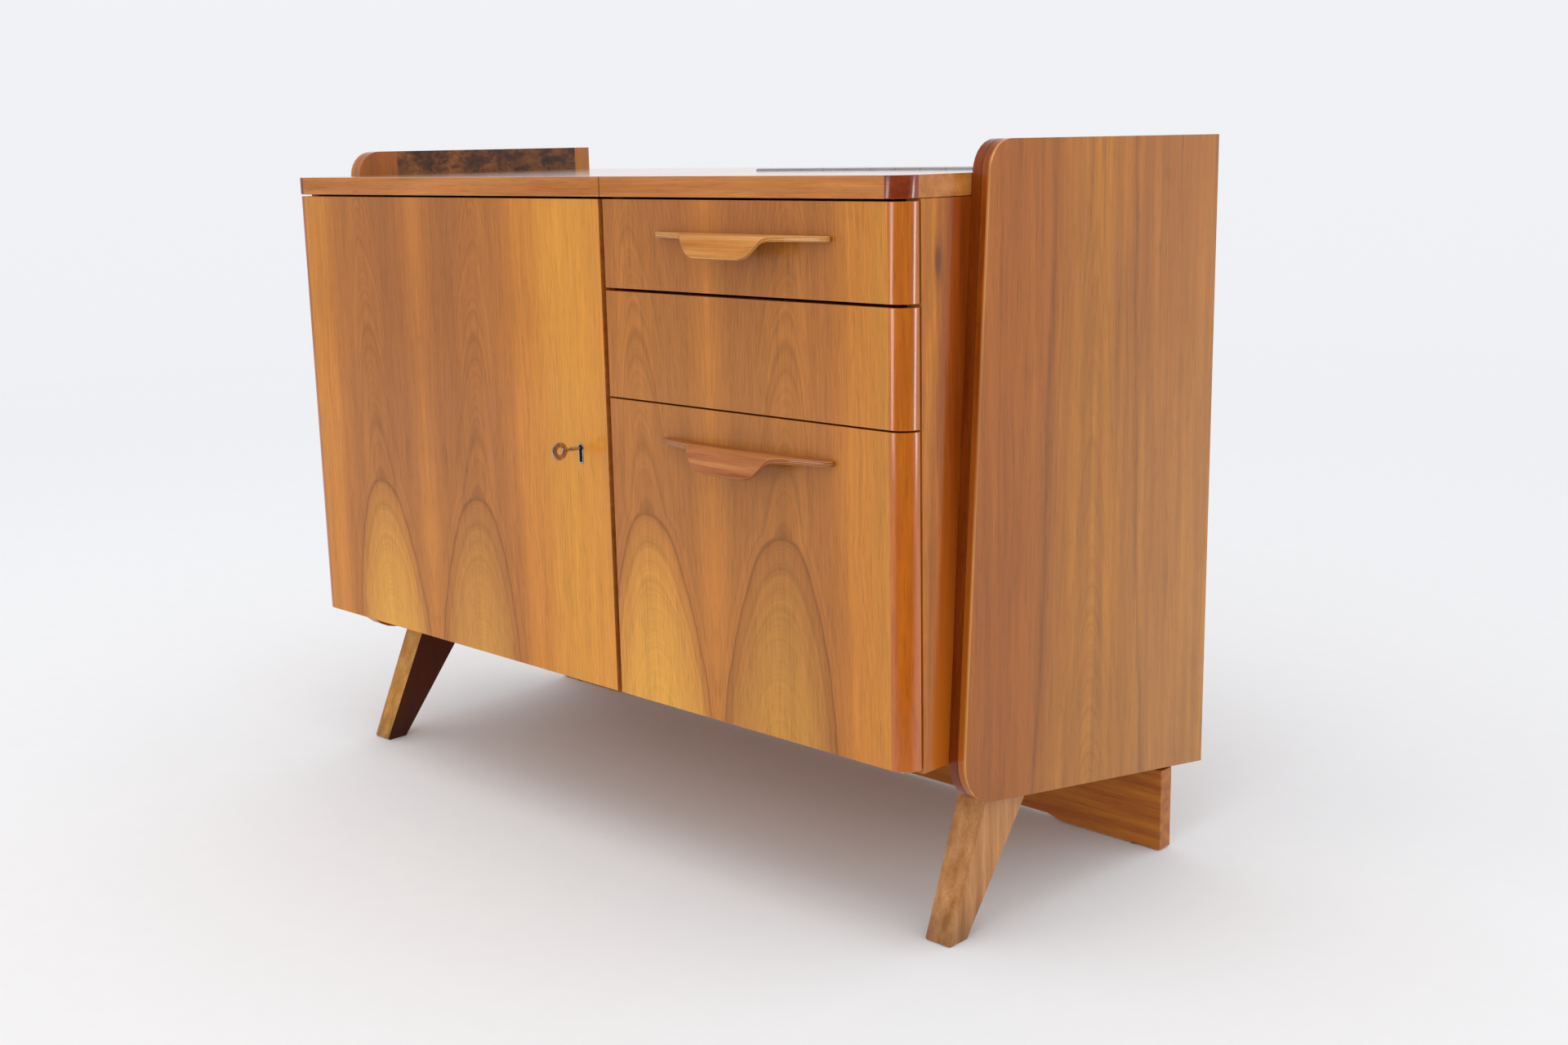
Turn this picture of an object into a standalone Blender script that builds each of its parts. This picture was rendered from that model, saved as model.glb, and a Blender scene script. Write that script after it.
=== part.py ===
"""A free-standing walnut cabinet: one lockable door, a lift-up lid, two drawers and a drop flap.

Lengths are in metres, +X runs to the right along the front, +Y to the rear, +Z up from the floor.
The origin lies on the floor under the middle of the cabinet's bounding box.
"""
import math

import bmesh
import bpy
from mathutils import Matrix, Vector

# Overall sizes
WIDTH = 1.200
HEIGHT = 0.900
DEPTH = 0.566            # from the faces of door and drawers to the rear edge of the side panels
OUTER_PAST = 0.040       # outer panel layers end this far behind the top and the inner layers
PANEL_RISE = 0.0345      # side panels stand above the top by this much

# Clearances
FIT = 0.0003             # between pieces that touch
RUN = 0.0015             # between a moving piece and what it passes
OVERRUN = 0.004          # how far a cutter runs past what it cuts

# Boards
PLY = 0.01185            # one of the two glued layers of a side panel
FRONT_T = 0.0234         # door, drawer fronts and flap
FRONT_GAP = 0.0031       # between the fronts and the carcass, room for the hinge leaves
TOP_T = 0.024
SIDE_T = 0.020           # carcass sides, bottom and divider
BACK_T = 0.005
BACK_INSET = 0.0007      # back panel within the top's rear edge
SHELF_T = 0.016
LEG_BOARD_T = 0.024
SOFT = 0.0012            # rounding of visible edges
SOFT_SMALL = 0.0006

# Heights: two from the floor, the fronts' own, and the gaps between them
BODY_BOTTOM = 0.221
FRONT_BOTTOM = 0.2265
UPPER_FRONT_H = 0.1048
LOWER_FRONT_H = 0.1282
TOP_GAP = 0.0025         # between the fronts and the top
UPPER_GAP = 0.0035       # between the two drawer fronts
LOWER_GAP = 0.0020       # between the lower drawer and the flap

# Places across the front
DIVIDER_X = 0.1025       # middle of the centre divider
DOOR_RIGHT = 0.098
COLUMN_LEFT = 0.106
SEAM_X = 0.1025          # seam between the fixed top and the lid
SEAM_W = 0.0015
TOP_PROUD = 0.002        # the top's front edge stands out past the fronts

# Side panels, seen from the side: four corners and two round ones in front
PANEL_TOP_Y = 0.1126     # upper front corner, behind the faces of the fronts
PANEL_LOW_Y = 0.0666
PANEL_LOW_Z = 0.1768
PANEL_REAR_Z = 0.0973
PANEL_TOP_R = 0.036
PANEL_LOW_R = 0.057

# Front legs, seen from the side
LEG_FOOT_Y = 0.069
LEG_FOOT_LEN = 0.0346
LEG_TOP_Y = 0.167
LEG_TOP_LEN = 0.104
LEG_W = 0.044
LEG_FOOT_W = 0.035
LEG_FOOT_R = 0.003

# Rear leg board
LEG_BOARD_IN = 0.032     # from the body's rear to the board
LEG_BOARD_FOOT = 0.153
LEG_BOARD_RISE = 0.0065
LEG_BOARD_STEP = 0.022
GLIDE_R = 0.011
GLIDE_T = 0.004
GLIDE_PROUD = 0.0015
GLIDE_IN = 0.041

# Lid and its hinge
LID_DEPTH = 0.266        # from the faces of the fronts to the hinge line
LID_KNUCKLE_R = 0.0030
LID_KNUCKLES = 12
LID_LEAF = 0.018
LID_RAIL_H = 0.033
LID_RAIL_FRONT = 0.014
LID_RAIL_REAR = 0.022

# Knuckle hinges of door and flap
KNUCKLE_R = 0.0025
LEAF_T = 0.0010
LEAF_OFF = 0.00025       # from the hinge's middle plane to a leaf
LEAF = 0.021
DOOR_KNUCKLES = 10
FLAP_KNUCKLES = 8
KNUCKLE_GAP = 0.0005
HINGE_INSET = 0.007      # from the board's end to the hinge's end
PIN_SHARE = 0.42
BORE_SHARE = 0.56
ROOT_SHARE = 0.75
ROUND_SHARE = 0.96       # of a strip's half width, for the rounding of its ends

# Lock, key and keyhole
KEY_X = 0.046
KEYHOLE_R = 0.0054
KEYHOLE_W = 0.0082
KEYHOLE_DROP = 0.0195
LINER_T = 0.0013
LINER_DEPTH = 0.008
LINER_PROUD = 0.0005
LOCK_LEFT = 0.032
LOCK_RIGHT = 0.044
LOCK_UP = 0.034
LOCK_DOWN = 0.030
LOCK_T = 0.014
LOCK_WALL = 0.0015
BOLT_Z = 0.010           # bolt's underside above the key's axis
BOLT_H = 0.014
BOLT_T = 0.0055
BOLT_IN = 0.006          # bolt behind the door's inner face
BOLT_TAIL = 0.022
BOLT_THROW = 0.008
NOTCH_LEFT = 0.0135
NOTCH_RIGHT = 0.0055
NOTCH_H = 0.0042
KEY_R = 0.0019
KEY_REACH = 0.0454
BOW_W = 0.0236
BOW_H = 0.0226
BOW_HOLE = 0.0110
BOW_T = 0.0028
COLLAR_R = 0.0031
COLLAR_T = 0.0030
COLLAR_BEHIND = 0.0050   # from the bow to the collar
BIT_R = 0.013
BIT_T = 0.0022
BIT_W = 0.005
STRIKE_T = 0.0012
STRIKE_H = 0.048
STRIKE_W = 0.018

# Drawers
DRAWER_SIDE_T = 0.014
DRAWER_BACK_T = 0.012
DRAWER_BOTTOM_T = 0.004
DRAWER_LEN = 0.440       # from the back of the front to the rear of the box
DRAWER_CLEAR = 0.0012    # box side to carcass
UPPER_BOX_UP = 0.0078    # box above the lower edge of its front
UPPER_BOX_H = 0.062
LOWER_BOX_UP = 0.0045
LOWER_BOX_H = 0.084
RUNNER_T = 0.009
RUNNER_H = 0.014
RUNNER_START = 0.040
RUNNER_CLEAR = 0.0004

# Left compartment
SHELF_UP = 0.279         # above the bottom board
SHELF_BACK = 0.034       # shelf's front edge behind the carcass front
CLEAT_T = 0.012
CLEAT_H = 0.016

# Board over the flap's compartment and the flap's catch
DECK_DOWN = 0.0195       # its underside below the lower drawer's front
CATCH_W = 0.024
CATCH_H = 0.011
CATCH_L = 0.022
CATCH_PLATE_T = 0.0012
CATCH_PLATE_H = 0.018

# Flap stay
STAY_RISE = 0.126        # bracket pin above the flap's hinge line, flap shut
STAY_STAND = 0.012       # bracket pin behind the hinge line
STUD_ANGLE = math.radians(58)
STAY_T = 0.0020
STAY_W = 0.014
STAY_WALL = 0.0032       # from the carcass side to the arm
STUD_R = 0.0023
STUD_HEAD_R = 0.0045
STUD_HEAD_T = 0.0022
SLOT_CLEAR = 0.0005
SLOT_SPARE = 0.0030
STAY_END = 0.0090        # arm past the end of its slot
BRACKET_T = 0.0015
BRACKET_H = 0.030
BRACKET_W = 0.014

# Handles, bent from one strip: flat against the front, then a bend, then the lip
HANDLE_T = 0.006
HANDLE_HALF = 0.136
HANDLE_FLAT = 0.0274
HANDLE_BEND_R = 0.0090
HANDLE_BEND = math.radians(70)
HANDLE_LIP = 0.0186
HANDLE_DOWN = 0.0363     # top of a handle under the top edge of its front
HANDLE_DOWN_LOW = 0.0387
# Half width of the strip, share by share of its run from the front to the lip's edge
HANDLE_RUN_SHARES = (0.0, 0.035, 0.086, 0.138, 0.181, 0.224, 0.276, 0.328, 0.379, 0.431, 0.491,
                     0.534, 0.586, 0.638, 0.681, 0.741, 0.810, 0.879, 0.940, 0.983, 1.0)
HANDLE_HALF_SHARES = (0.970, 0.993, 1.0, 0.982, 0.934, 0.868, 0.779, 0.699, 0.625, 0.570, 0.522,
                      0.496, 0.474, 0.456, 0.441, 0.419, 0.393, 0.368, 0.342, 0.316, 0.294)

ARC_STEPS = 7
ROUND_SIDES = 12
KNUCKLE_SIDES = 10

# Places worked out from the sizes above
HANDLE_REACH = (FIT + HANDLE_FLAT + HANDLE_BEND_R * math.sin(HANDLE_BEND)
                + HANDLE_LIP * math.cos(HANDLE_BEND) + HANDLE_T / 2 * math.sin(HANDLE_BEND))
FRONT_REACH = max(HANDLE_REACH, KEY_REACH)
FACE = -(DEPTH - FRONT_REACH) / 2
REAR = FACE + DEPTH
BODY_DEPTH = DEPTH - OUTER_PAST
BODY_REAR = FACE + BODY_DEPTH
TOP_FACE = HEIGHT - PANEL_RISE
PANEL_SLOPE = (PANEL_LOW_Z - PANEL_REAR_Z) / (DEPTH - PANEL_LOW_Y)
INNER = FACE + FRONT_T
CARCASS = INNER + FRONT_GAP
HALF = WIDTH / 2
PANEL_IN = HALF - 2 * PLY - FIT
BODY_OUT = PANEL_IN - FIT
BODY_IN = BODY_OUT - SIDE_T
TOP_UNDER = TOP_FACE - TOP_T
FRONT_TOP = TOP_UNDER - TOP_GAP
BOARD_TOP = TOP_UNDER - FIT
BOTTOM_TOP = BODY_BOTTOM + SIDE_T
BACK_REAR = BODY_REAR - BACK_INSET
BACK_FRONT = BACK_REAR - BACK_T
CARCASS_REAR = BACK_FRONT - FIT
DIV_LEFT = DIVIDER_X - SIDE_T / 2
DIV_RIGHT = DIVIDER_X + SIDE_T / 2
HINGE_HALF = LEAF_OFF + LEAF_T + FIT
LID_AXIS_Y = FACE + LID_DEPTH
DOOR_AXIS = Vector((-BODY_OUT - KNUCKLE_R - FIT, (INNER + CARCASS) / 2, FRONT_BOTTOM))
FLAP_AXIS = Vector((DIVIDER_X, (INNER + CARCASS) / 2, BODY_BOTTOM - KNUCKLE_R - FIT))
UPPER_FRONT = (FRONT_TOP - UPPER_FRONT_H, FRONT_TOP)
LOWER_FRONT = (UPPER_FRONT[0] - UPPER_GAP - LOWER_FRONT_H, UPPER_FRONT[0] - UPPER_GAP)
FLAP_FRONT = (FRONT_BOTTOM, LOWER_FRONT[0] - LOWER_GAP)
UPPER_BOX_Z = UPPER_FRONT[0] + UPPER_BOX_UP
LOWER_BOX_Z = LOWER_FRONT[0] + LOWER_BOX_UP
DECK_Z = LOWER_FRONT[0] - DECK_DOWN
SHELF_Z = BOTTOM_TOP + SHELF_UP
KEY_Z = (FRONT_BOTTOM + FRONT_TOP) / 2
LEG_BOARD_Y = BODY_DEPTH - LEG_BOARD_IN - LEG_BOARD_T

# How an outline drawn in each plane is turned into place, and the axis through that plane
QUARTER = math.radians(90)
PLANES = {
    "XY": Matrix.Identity(3),
    "XZ": Matrix.Rotation(QUARTER, 3, "X"),
    "YZ": Matrix.Rotation(QUARTER, 3, "Z") @ Matrix.Rotation(QUARTER, 3, "X"),
}
THROUGH = {"XY": "z", "XZ": "y", "YZ": "x"}


def clear_scene():
    """Remove what the file opened with."""
    for thing in list(bpy.data.objects):
        bpy.data.objects.remove(thing)


def collection(name):
    group = bpy.data.collections.new(name)
    bpy.context.scene.collection.children.link(group)
    return group


def finish(name, colour, roughness, metallic=0.0):
    """A plain material in the part's own colour."""
    material = bpy.data.materials.new(name)
    material.use_nodes = True
    shader = material.node_tree.nodes["Principled BSDF"]
    shader.inputs["Base Color"].default_value = (*colour, 1.0)
    shader.inputs["Roughness"].default_value = roughness
    shader.inputs["Metallic"].default_value = metallic
    return material


def add(name, mesh, place, material=None, joint=None):
    """Put a mesh in the scene as a part, or as a cutter if it has no material."""
    piece = bpy.data.objects.new(name, mesh)
    if material is None:
        CUTTERS.objects.link(piece)
        piece.hide_render = True
        piece.display_type = "WIRE"
    else:
        PARTS.objects.link(piece)
        mesh.materials.append(material)
    piece.location = place
    if joint is not None:
        piece.parent = joint
        piece.location = Vector(place) - joint.location
    return piece


def joint_point(name, place):
    """An empty on a joint's axis, which carries the pieces that move."""
    point = bpy.data.objects.new(name, None)
    point.location = place
    PARTS.objects.link(point)
    return point


def soften(piece, width, segments=2):
    """Round the sharp edges of a piece."""
    bevel = piece.modifiers.new("soft_edges", "BEVEL")
    bevel.width = width
    bevel.segments = segments
    bevel.limit_method = "ANGLE"
    bevel.angle_limit = math.radians(40)
    return piece


def combine(piece, tool, operation="DIFFERENCE"):
    """Cut a piece with a cutter, or join a guide shape to it."""
    step = piece.modifiers.new(tool.name, "BOOLEAN")
    step.operation = operation
    step.solver = "EXACT"
    step.object = tool
    return piece


def box(name, low, high, material=None, joint=None, soft=0):
    """A board between two corners."""
    low, high = Vector(low), Vector(high)
    size = high - low
    shape = bmesh.new()
    bmesh.ops.create_cube(shape, size=1, matrix=Matrix.Diagonal((*size, 1)))
    mesh = bpy.data.meshes.new(name)
    shape.to_mesh(mesh)
    shape.free()
    piece = add(name, mesh, (low + high) / 2, material, joint)
    if soft:
        soften(piece, soft)
    return piece


def rod(name, start, end, radius, material=None, joint=None, sides=ROUND_SIDES):
    """A round bar between two points."""
    start, end = Vector(start), Vector(end)
    along = end - start
    turn = Vector((0, 0, 1)).rotation_difference(along).to_matrix().to_4x4()
    shape = bmesh.new()
    bmesh.ops.create_cone(shape, cap_ends=True, segments=sides, radius1=radius, radius2=radius,
                          depth=along.length, matrix=turn)
    mesh = bpy.data.meshes.new(name)
    shape.to_mesh(mesh)
    shape.free()
    mesh.shade_smooth()
    mesh.set_sharp_from_angle(angle=math.radians(50))
    return add(name, mesh, (start + end) / 2, material, joint)


def rounded(corners, steps=ARC_STEPS):
    """Turn corners given as (across, up, radius) into outline points with round arcs."""
    points = []
    count = len(corners)
    for index, (across, up, radius) in enumerate(corners):
        here = Vector((across, up))
        if radius == 0:
            points.append(here)
            continue
        before = (Vector(corners[index - 1][:2]) - here).normalized()
        after = (Vector(corners[(index + 1) % count][:2]) - here).normalized()
        half = before.angle(after) / 2
        centre = here + (before + after).normalized() * radius / math.sin(half)
        first = here + before * radius / math.tan(half) - centre
        last = here + after * radius / math.tan(half) - centre
        sweep = first.angle_signed(last)
        for step in range(steps + 1):
            turn = Matrix.Rotation(-sweep * step / steps, 2)
            points.append(centre + turn @ first)
    return points


def outline_mesh(name, points, thickness, plane):
    """Extrude a flat outline to both sides of its plane and turn it into place."""
    curve = bpy.data.curves.new(name, "CURVE")
    curve.dimensions = "2D"
    curve.fill_mode = "BOTH"
    curve.extrude = thickness / 2
    spline = curve.splines.new("POLY")
    spline.points.add(len(points) - 1)
    for point, (across, up) in zip(spline.points, points):
        point.co = (across, up, 0, 1)
    spline.use_cyclic_u = True
    holder = bpy.data.objects.new(name, curve)
    bpy.context.scene.collection.objects.link(holder)
    bpy.context.view_layer.update()
    solid = holder.evaluated_get(bpy.context.evaluated_depsgraph_get())
    mesh = bpy.data.meshes.new_from_object(solid)
    bpy.data.objects.remove(holder)
    bpy.data.curves.remove(curve)
    shape = bmesh.new()
    shape.from_mesh(mesh)
    bmesh.ops.remove_doubles(shape, verts=shape.verts, dist=FIT / 10)
    bmesh.ops.recalc_face_normals(shape, faces=shape.faces)
    bmesh.ops.transform(shape, matrix=PLANES[plane].to_4x4(), verts=shape.verts)
    bmesh.ops.dissolve_limit(shape, angle_limit=math.radians(1), verts=shape.verts,
                             edges=shape.edges)
    shape.to_mesh(mesh)
    shape.free()
    mesh.materials.clear()
    mesh.shade_smooth()
    mesh.set_sharp_from_angle(angle=math.radians(35))
    return mesh


def plate(name, corners, plane, low, high, material=None, joint=None, soft=0):
    """A board with the given outline, between two places on the axis through its plane."""
    points = rounded(corners)
    middle = Vector((sum(p[0] for p in points), sum(p[1] for p in points))) / len(points)
    mesh = outline_mesh(name, [p - middle for p in points], high - low, plane)
    place = PLANES[plane] @ Vector((*middle, 0))
    setattr(place, THROUGH[plane], (low + high) / 2)
    piece = add(name, mesh, place, material, joint)
    if soft:
        soften(piece, soft)
    return piece


def turned(name, profile, start, axis, material, joint=None):
    """A turned piece: (radius, distance along the axis) pairs from its start, run by a Screw."""
    mesh = bpy.data.meshes.new(name)
    shape = bmesh.new()
    ring = [shape.verts.new((radius, 0, -along)) for radius, along in profile]
    for first, second in zip(ring, ring[1:]):
        shape.edges.new((first, second))
    shape.to_mesh(mesh)
    shape.free()
    piece = add(name, mesh, start, material, joint)
    piece.rotation_euler = Vector((0, 0, -1)).rotation_difference(axis).to_euler()
    screw = piece.modifiers.new("turned", "SCREW")
    screw.steps = ROUND_SIDES
    screw.render_steps = ROUND_SIDES
    screw.use_merge_vertices = True
    screw.merge_threshold = FIT / 10
    return piece


def side_panels():
    """Two glued layers on each side, leaning in front and cut on a slope below."""
    for side, sign in (("left", -1), ("right", 1)):
        for layer, near, rear in (("inner", PANEL_IN, BODY_REAR),
                                  ("outer", PANEL_IN + PLY + FIT, REAR)):
            corners = [
                (FACE + PANEL_LOW_Y, PANEL_LOW_Z, PANEL_LOW_R),
                (rear, PANEL_REAR_Z + PANEL_SLOPE * (REAR - rear), 0),
                (rear, HEIGHT, 0),
                (FACE + PANEL_TOP_Y, HEIGHT, PANEL_TOP_R),
            ]
            low, high = sorted((sign * near, sign * (near + PLY)))
            plate(f"side_panel_{side}_{layer}", corners, "YZ", low, high, VENEER, soft=SOFT_SMALL)


def carcass():
    """The fixed boxes behind the fronts."""
    box("body_side_left", (-BODY_OUT, CARCASS, BODY_BOTTOM), (-BODY_IN, CARCASS_REAR, BOARD_TOP),
        VENEER, soft=SOFT_SMALL)
    box("body_side_right", (BODY_IN, CARCASS, BODY_BOTTOM), (BODY_OUT, CARCASS_REAR, BOARD_TOP),
        VENEER, soft=SOFT_SMALL)
    inside = BODY_IN - FIT
    box("bottom_board", (-inside, CARCASS, BODY_BOTTOM), (inside, CARCASS_REAR, BOTTOM_TOP),
        CORE, soft=SOFT_SMALL)
    divider = box("centre_divider", (DIV_LEFT, CARCASS, BOTTOM_TOP + FIT),
                  (DIV_RIGHT, CARCASS_REAR, BOARD_TOP), CORE, soft=SOFT_SMALL)
    low_y, low_z = INNER + BOLT_IN, KEY_Z + BOLT_Z
    combine(divider, box("strike_mortise",
                         (DIV_LEFT - OVERRUN, low_y - RUN, low_z - RUN),
                         (DIV_LEFT + BOLT_THROW + RUN, low_y + BOLT_T + RUN,
                          low_z + BOLT_H + RUN)))
    box("back_panel", (-BODY_OUT, BACK_FRONT, BODY_BOTTOM), (BODY_OUT, BACK_REAR, BOARD_TOP), PLAIN)
    box("deck_board", (DIV_RIGHT + FIT, CARCASS, DECK_Z), (inside, CARCASS_REAR, DECK_Z + SHELF_T),
        CORE, soft=SOFT_SMALL)
    box("lid_rail", (DIV_RIGHT + FIT, LID_AXIS_Y - LID_RAIL_FRONT, BOARD_TOP - LID_RAIL_H),
        (inside, LID_AXIS_Y + LID_RAIL_REAR, BOARD_TOP), CORE, soft=SOFT_SMALL)


def left_compartment():
    """One shelf on two cleats."""
    front, rear = CARCASS + SHELF_BACK, CARCASS_REAR - FIT
    left, right = -BODY_IN + FIT, DIV_LEFT - FIT
    box("shelf", (left, front, SHELF_Z), (right, rear, SHELF_Z + SHELF_T), CORE, soft=SOFT_SMALL)
    top = SHELF_Z - FIT
    box("shelf_cleat_left", (left, front + CLEAT_T, top - CLEAT_H), (left + CLEAT_T, rear, top),
        PLAIN, soft=SOFT_SMALL)
    box("shelf_cleat_right", (right - CLEAT_T, front + CLEAT_T, top - CLEAT_H), (right, rear, top),
        PLAIN, soft=SOFT_SMALL)


def legs():
    """Two splayed legs in front and one full-width board behind."""
    for side, sign in (("left", -1), ("right", 1)):
        foot, top = FACE + LEG_FOOT_Y, FACE + LEG_TOP_Y
        corners = [
            (foot, 0, LEG_FOOT_R),
            (foot + LEG_FOOT_LEN, 0, LEG_FOOT_R),
            (top + LEG_TOP_LEN, BODY_BOTTOM - FIT, 0),
            (top, BODY_BOTTOM - FIT, 0),
        ]
        low, high = sorted((sign * (BODY_OUT - LEG_W), sign * BODY_OUT))
        leg = plate(f"leg_front_{side}", corners, "YZ", low, high, LEG_WOOD)
        taper = LEG_W - LEG_FOOT_W
        for vertex in leg.data.vertices:
            if vertex.co.x * sign < 0:
                height = (vertex.co.z + leg.location.z) / BODY_BOTTOM
                vertex.co.x += sign * taper * (1 - height)
        soften(leg, SOFT)

    base = GLIDE_PROUD
    shoulder = PANEL_REAR_Z + PANEL_SLOPE * (DEPTH - LEG_BOARD_Y - LEG_BOARD_T) - FIT
    inner, step = HALF - LEG_BOARD_FOOT, HALF - LEG_BOARD_FOOT - LEG_BOARD_STEP
    neck = PANEL_IN - FIT
    half = [
        (step, base + LEG_BOARD_RISE, LEG_BOARD_STEP / 4),
        (inner, base, LEG_BOARD_STEP / 4),
        (HALF, base, SOFT),
        (HALF, shoulder, 0),
        (neck, shoulder, 0),
        (neck, BODY_BOTTOM - FIT, 0),
    ]
    corners = half + [(-x, z, radius) for x, z, radius in reversed(half)]
    low = FACE + LEG_BOARD_Y
    board = plate("rear_leg_board", corners, "XZ", low, low + LEG_BOARD_T, LEG_WOOD,
                  soft=SOFT_SMALL)
    for side, sign in (("left", -1), ("right", 1)):
        x, y = sign * (HALF - GLIDE_IN), low + LEG_BOARD_T / 2
        combine(board, rod(f"glide_bore_{side}", (x, y, base - OVERRUN),
                           (x, y, GLIDE_T + FIT), GLIDE_R + FIT))
        rod(f"glide_rear_{side}", (x, y, 0), (x, y, GLIDE_T), GLIDE_R, RUBBER)


def top_board():
    """The fixed top, an L round the lid's place."""
    front, radius = FACE - TOP_PROUD, FRONT_T + TOP_PROUD
    notch_x, notch_y = SEAM_X - SEAM_W / 2, LID_AXIS_Y + HINGE_HALF
    corners = [
        (-BODY_OUT, front, radius),
        (notch_x, front, 0),
        (notch_x, notch_y, 0),
        (BODY_OUT, notch_y, 0),
        (BODY_OUT, BODY_REAR, 0),
        (-BODY_OUT, BODY_REAR, 0),
    ]
    board = plate("top_board", corners, "XY", TOP_UNDER, TOP_FACE, VENEER_TOP, soft=SOFT)
    combine(board, rod("knuckle_groove_top", (SEAM_X, LID_AXIS_Y, TOP_FACE),
                       (BODY_OUT + OVERRUN, LID_AXIS_Y, TOP_FACE), LID_KNUCKLE_R + 2 * FIT))


def lid():
    """The lift-up lid over the drawers."""
    joint = joint_point("lid_axis", (DIVIDER_X, LID_AXIS_Y, TOP_FACE))
    front, radius = FACE - TOP_PROUD, FRONT_T + TOP_PROUD
    left, right = SEAM_X + SEAM_W / 2, BODY_OUT - RUN / 2
    rear = LID_AXIS_Y - HINGE_HALF
    corners = [
        (left, front, 0),
        (right, front, radius),
        (right, rear, 0),
        (left, rear, 0),
    ]
    board = plate("lid", corners, "XY", TOP_UNDER, TOP_FACE, VENEER_TOP, joint, SOFT)
    combine(board, rod("knuckle_groove_lid", (left - OVERRUN, LID_AXIS_Y, TOP_FACE),
                       (right + OVERRUN, LID_AXIS_Y, TOP_FACE), LID_KNUCKLE_R + 2 * FIT,
                       joint=joint))
    middle = Vector(((left + right) / 2, LID_AXIS_Y, TOP_FACE))
    knuckle_hinge("lid_hinge", middle, 0, right - left - 2 * SOFT, LID_KNUCKLES, LID_KNUCKLE_R,
                  LID_LEAF, joint)


def knuckle_hinge(name, middle, turn, length, count, radius, leaf, joint):
    """A continuous hinge: two combed leaves whose knuckles take turns along one pin.

    It is drawn along X with its leaves hanging down, the moving one in front, and then turned
    about Y.
    """
    rotate = Matrix.Rotation(turn, 3, "Y")
    pitch = length / count
    start = -length / 2
    bore = rod(f"{name}_bore", (start - OVERRUN, 0, 0), (-start + OVERRUN, 0, 0),
               radius * BORE_SHARE, sides=KNUCKLE_SIDES)
    for role, sign, parity, owner in (("fixed_leaf", 1, 1, None), ("moving_leaf", -1, 0, joint)):
        own = [index for index in range(count) if index % 2 == parity]
        edge = []
        for index in range(count):
            left, right = start + index * pitch, start + (index + 1) * pitch
            if index in own:
                edge += [(left + 2 * KNUCKLE_GAP, -radius * ROOT_SHARE, 0),
                         (right - 2 * KNUCKLE_GAP, -radius * ROOT_SHARE, 0)]
            else:
                clear = -radius - KNUCKLE_GAP
                inner_left = max(left - 2 * KNUCKLE_GAP, start + KNUCKLE_GAP)
                inner_right = min(right + 2 * KNUCKLE_GAP, -start - KNUCKLE_GAP)
                edge += [(inner_left, clear, 0), (inner_right, clear, 0)]
        outline = [(edge[0][0], -leaf, 0)] + edge + [(edge[-1][0], -leaf, 0)]
        low, high = sorted((sign * LEAF_OFF, sign * (LEAF_OFF + LEAF_T)))
        comb = plate(f"{name}_{role}", outline, "XZ", low, high, STEEL)
        tubes = bmesh.new()
        for index in own:
            place = Matrix.Translation((start + (index + 1 / 2) * pitch, 0, 0))
            lay = Matrix.Rotation(QUARTER, 4, "Y")
            bmesh.ops.create_cone(tubes, cap_ends=True, segments=KNUCKLE_SIDES, radius1=radius,
                                  radius2=radius, depth=pitch - KNUCKLE_GAP, matrix=place @ lay)
        mesh = bpy.data.meshes.new(f"{name}_{role}_knuckles")
        tubes.to_mesh(mesh)
        tubes.free()
        knuckles = add(f"{name}_{role}_knuckles", mesh, (0, 0, 0))
        combine(comb, knuckles, "UNION")
        combine(comb, bore)
        for piece in (comb, knuckles):
            piece.rotation_euler = rotate.to_euler()
            piece.location = middle + rotate @ piece.location
            if owner is not None:
                piece.parent = owner
                piece.location -= owner.location
    bore.rotation_euler = rotate.to_euler()
    bore.location = middle
    first, last = (middle + rotate @ Vector((sign * (length / 2 - KNUCKLE_GAP), 0, 0))
                   for sign in (-1, 1))
    rod(f"{name}_pin", first, last, radius * PIN_SHARE, STEEL, sides=KNUCKLE_SIDES)


def keyhole(grow=0):
    """Outline of the keyhole: a round head over a slot, grown by a clearance."""
    radius, half = KEYHOLE_R + grow, KEYHOLE_W / 2 + grow
    start = math.asin(half / radius)
    points = []
    for step in range(ROUND_SIDES + 1):
        angle = -math.pi / 2 + start + (2 * math.pi - 2 * start) * step / ROUND_SIDES
        points.append((KEY_X + radius * math.cos(angle), KEY_Z + radius * math.sin(angle), 0))
    foot = KEY_Z - KEYHOLE_DROP - grow
    points += [(KEY_X - half, foot, half / 2), (KEY_X + half, foot, half / 2)]
    return points


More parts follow.
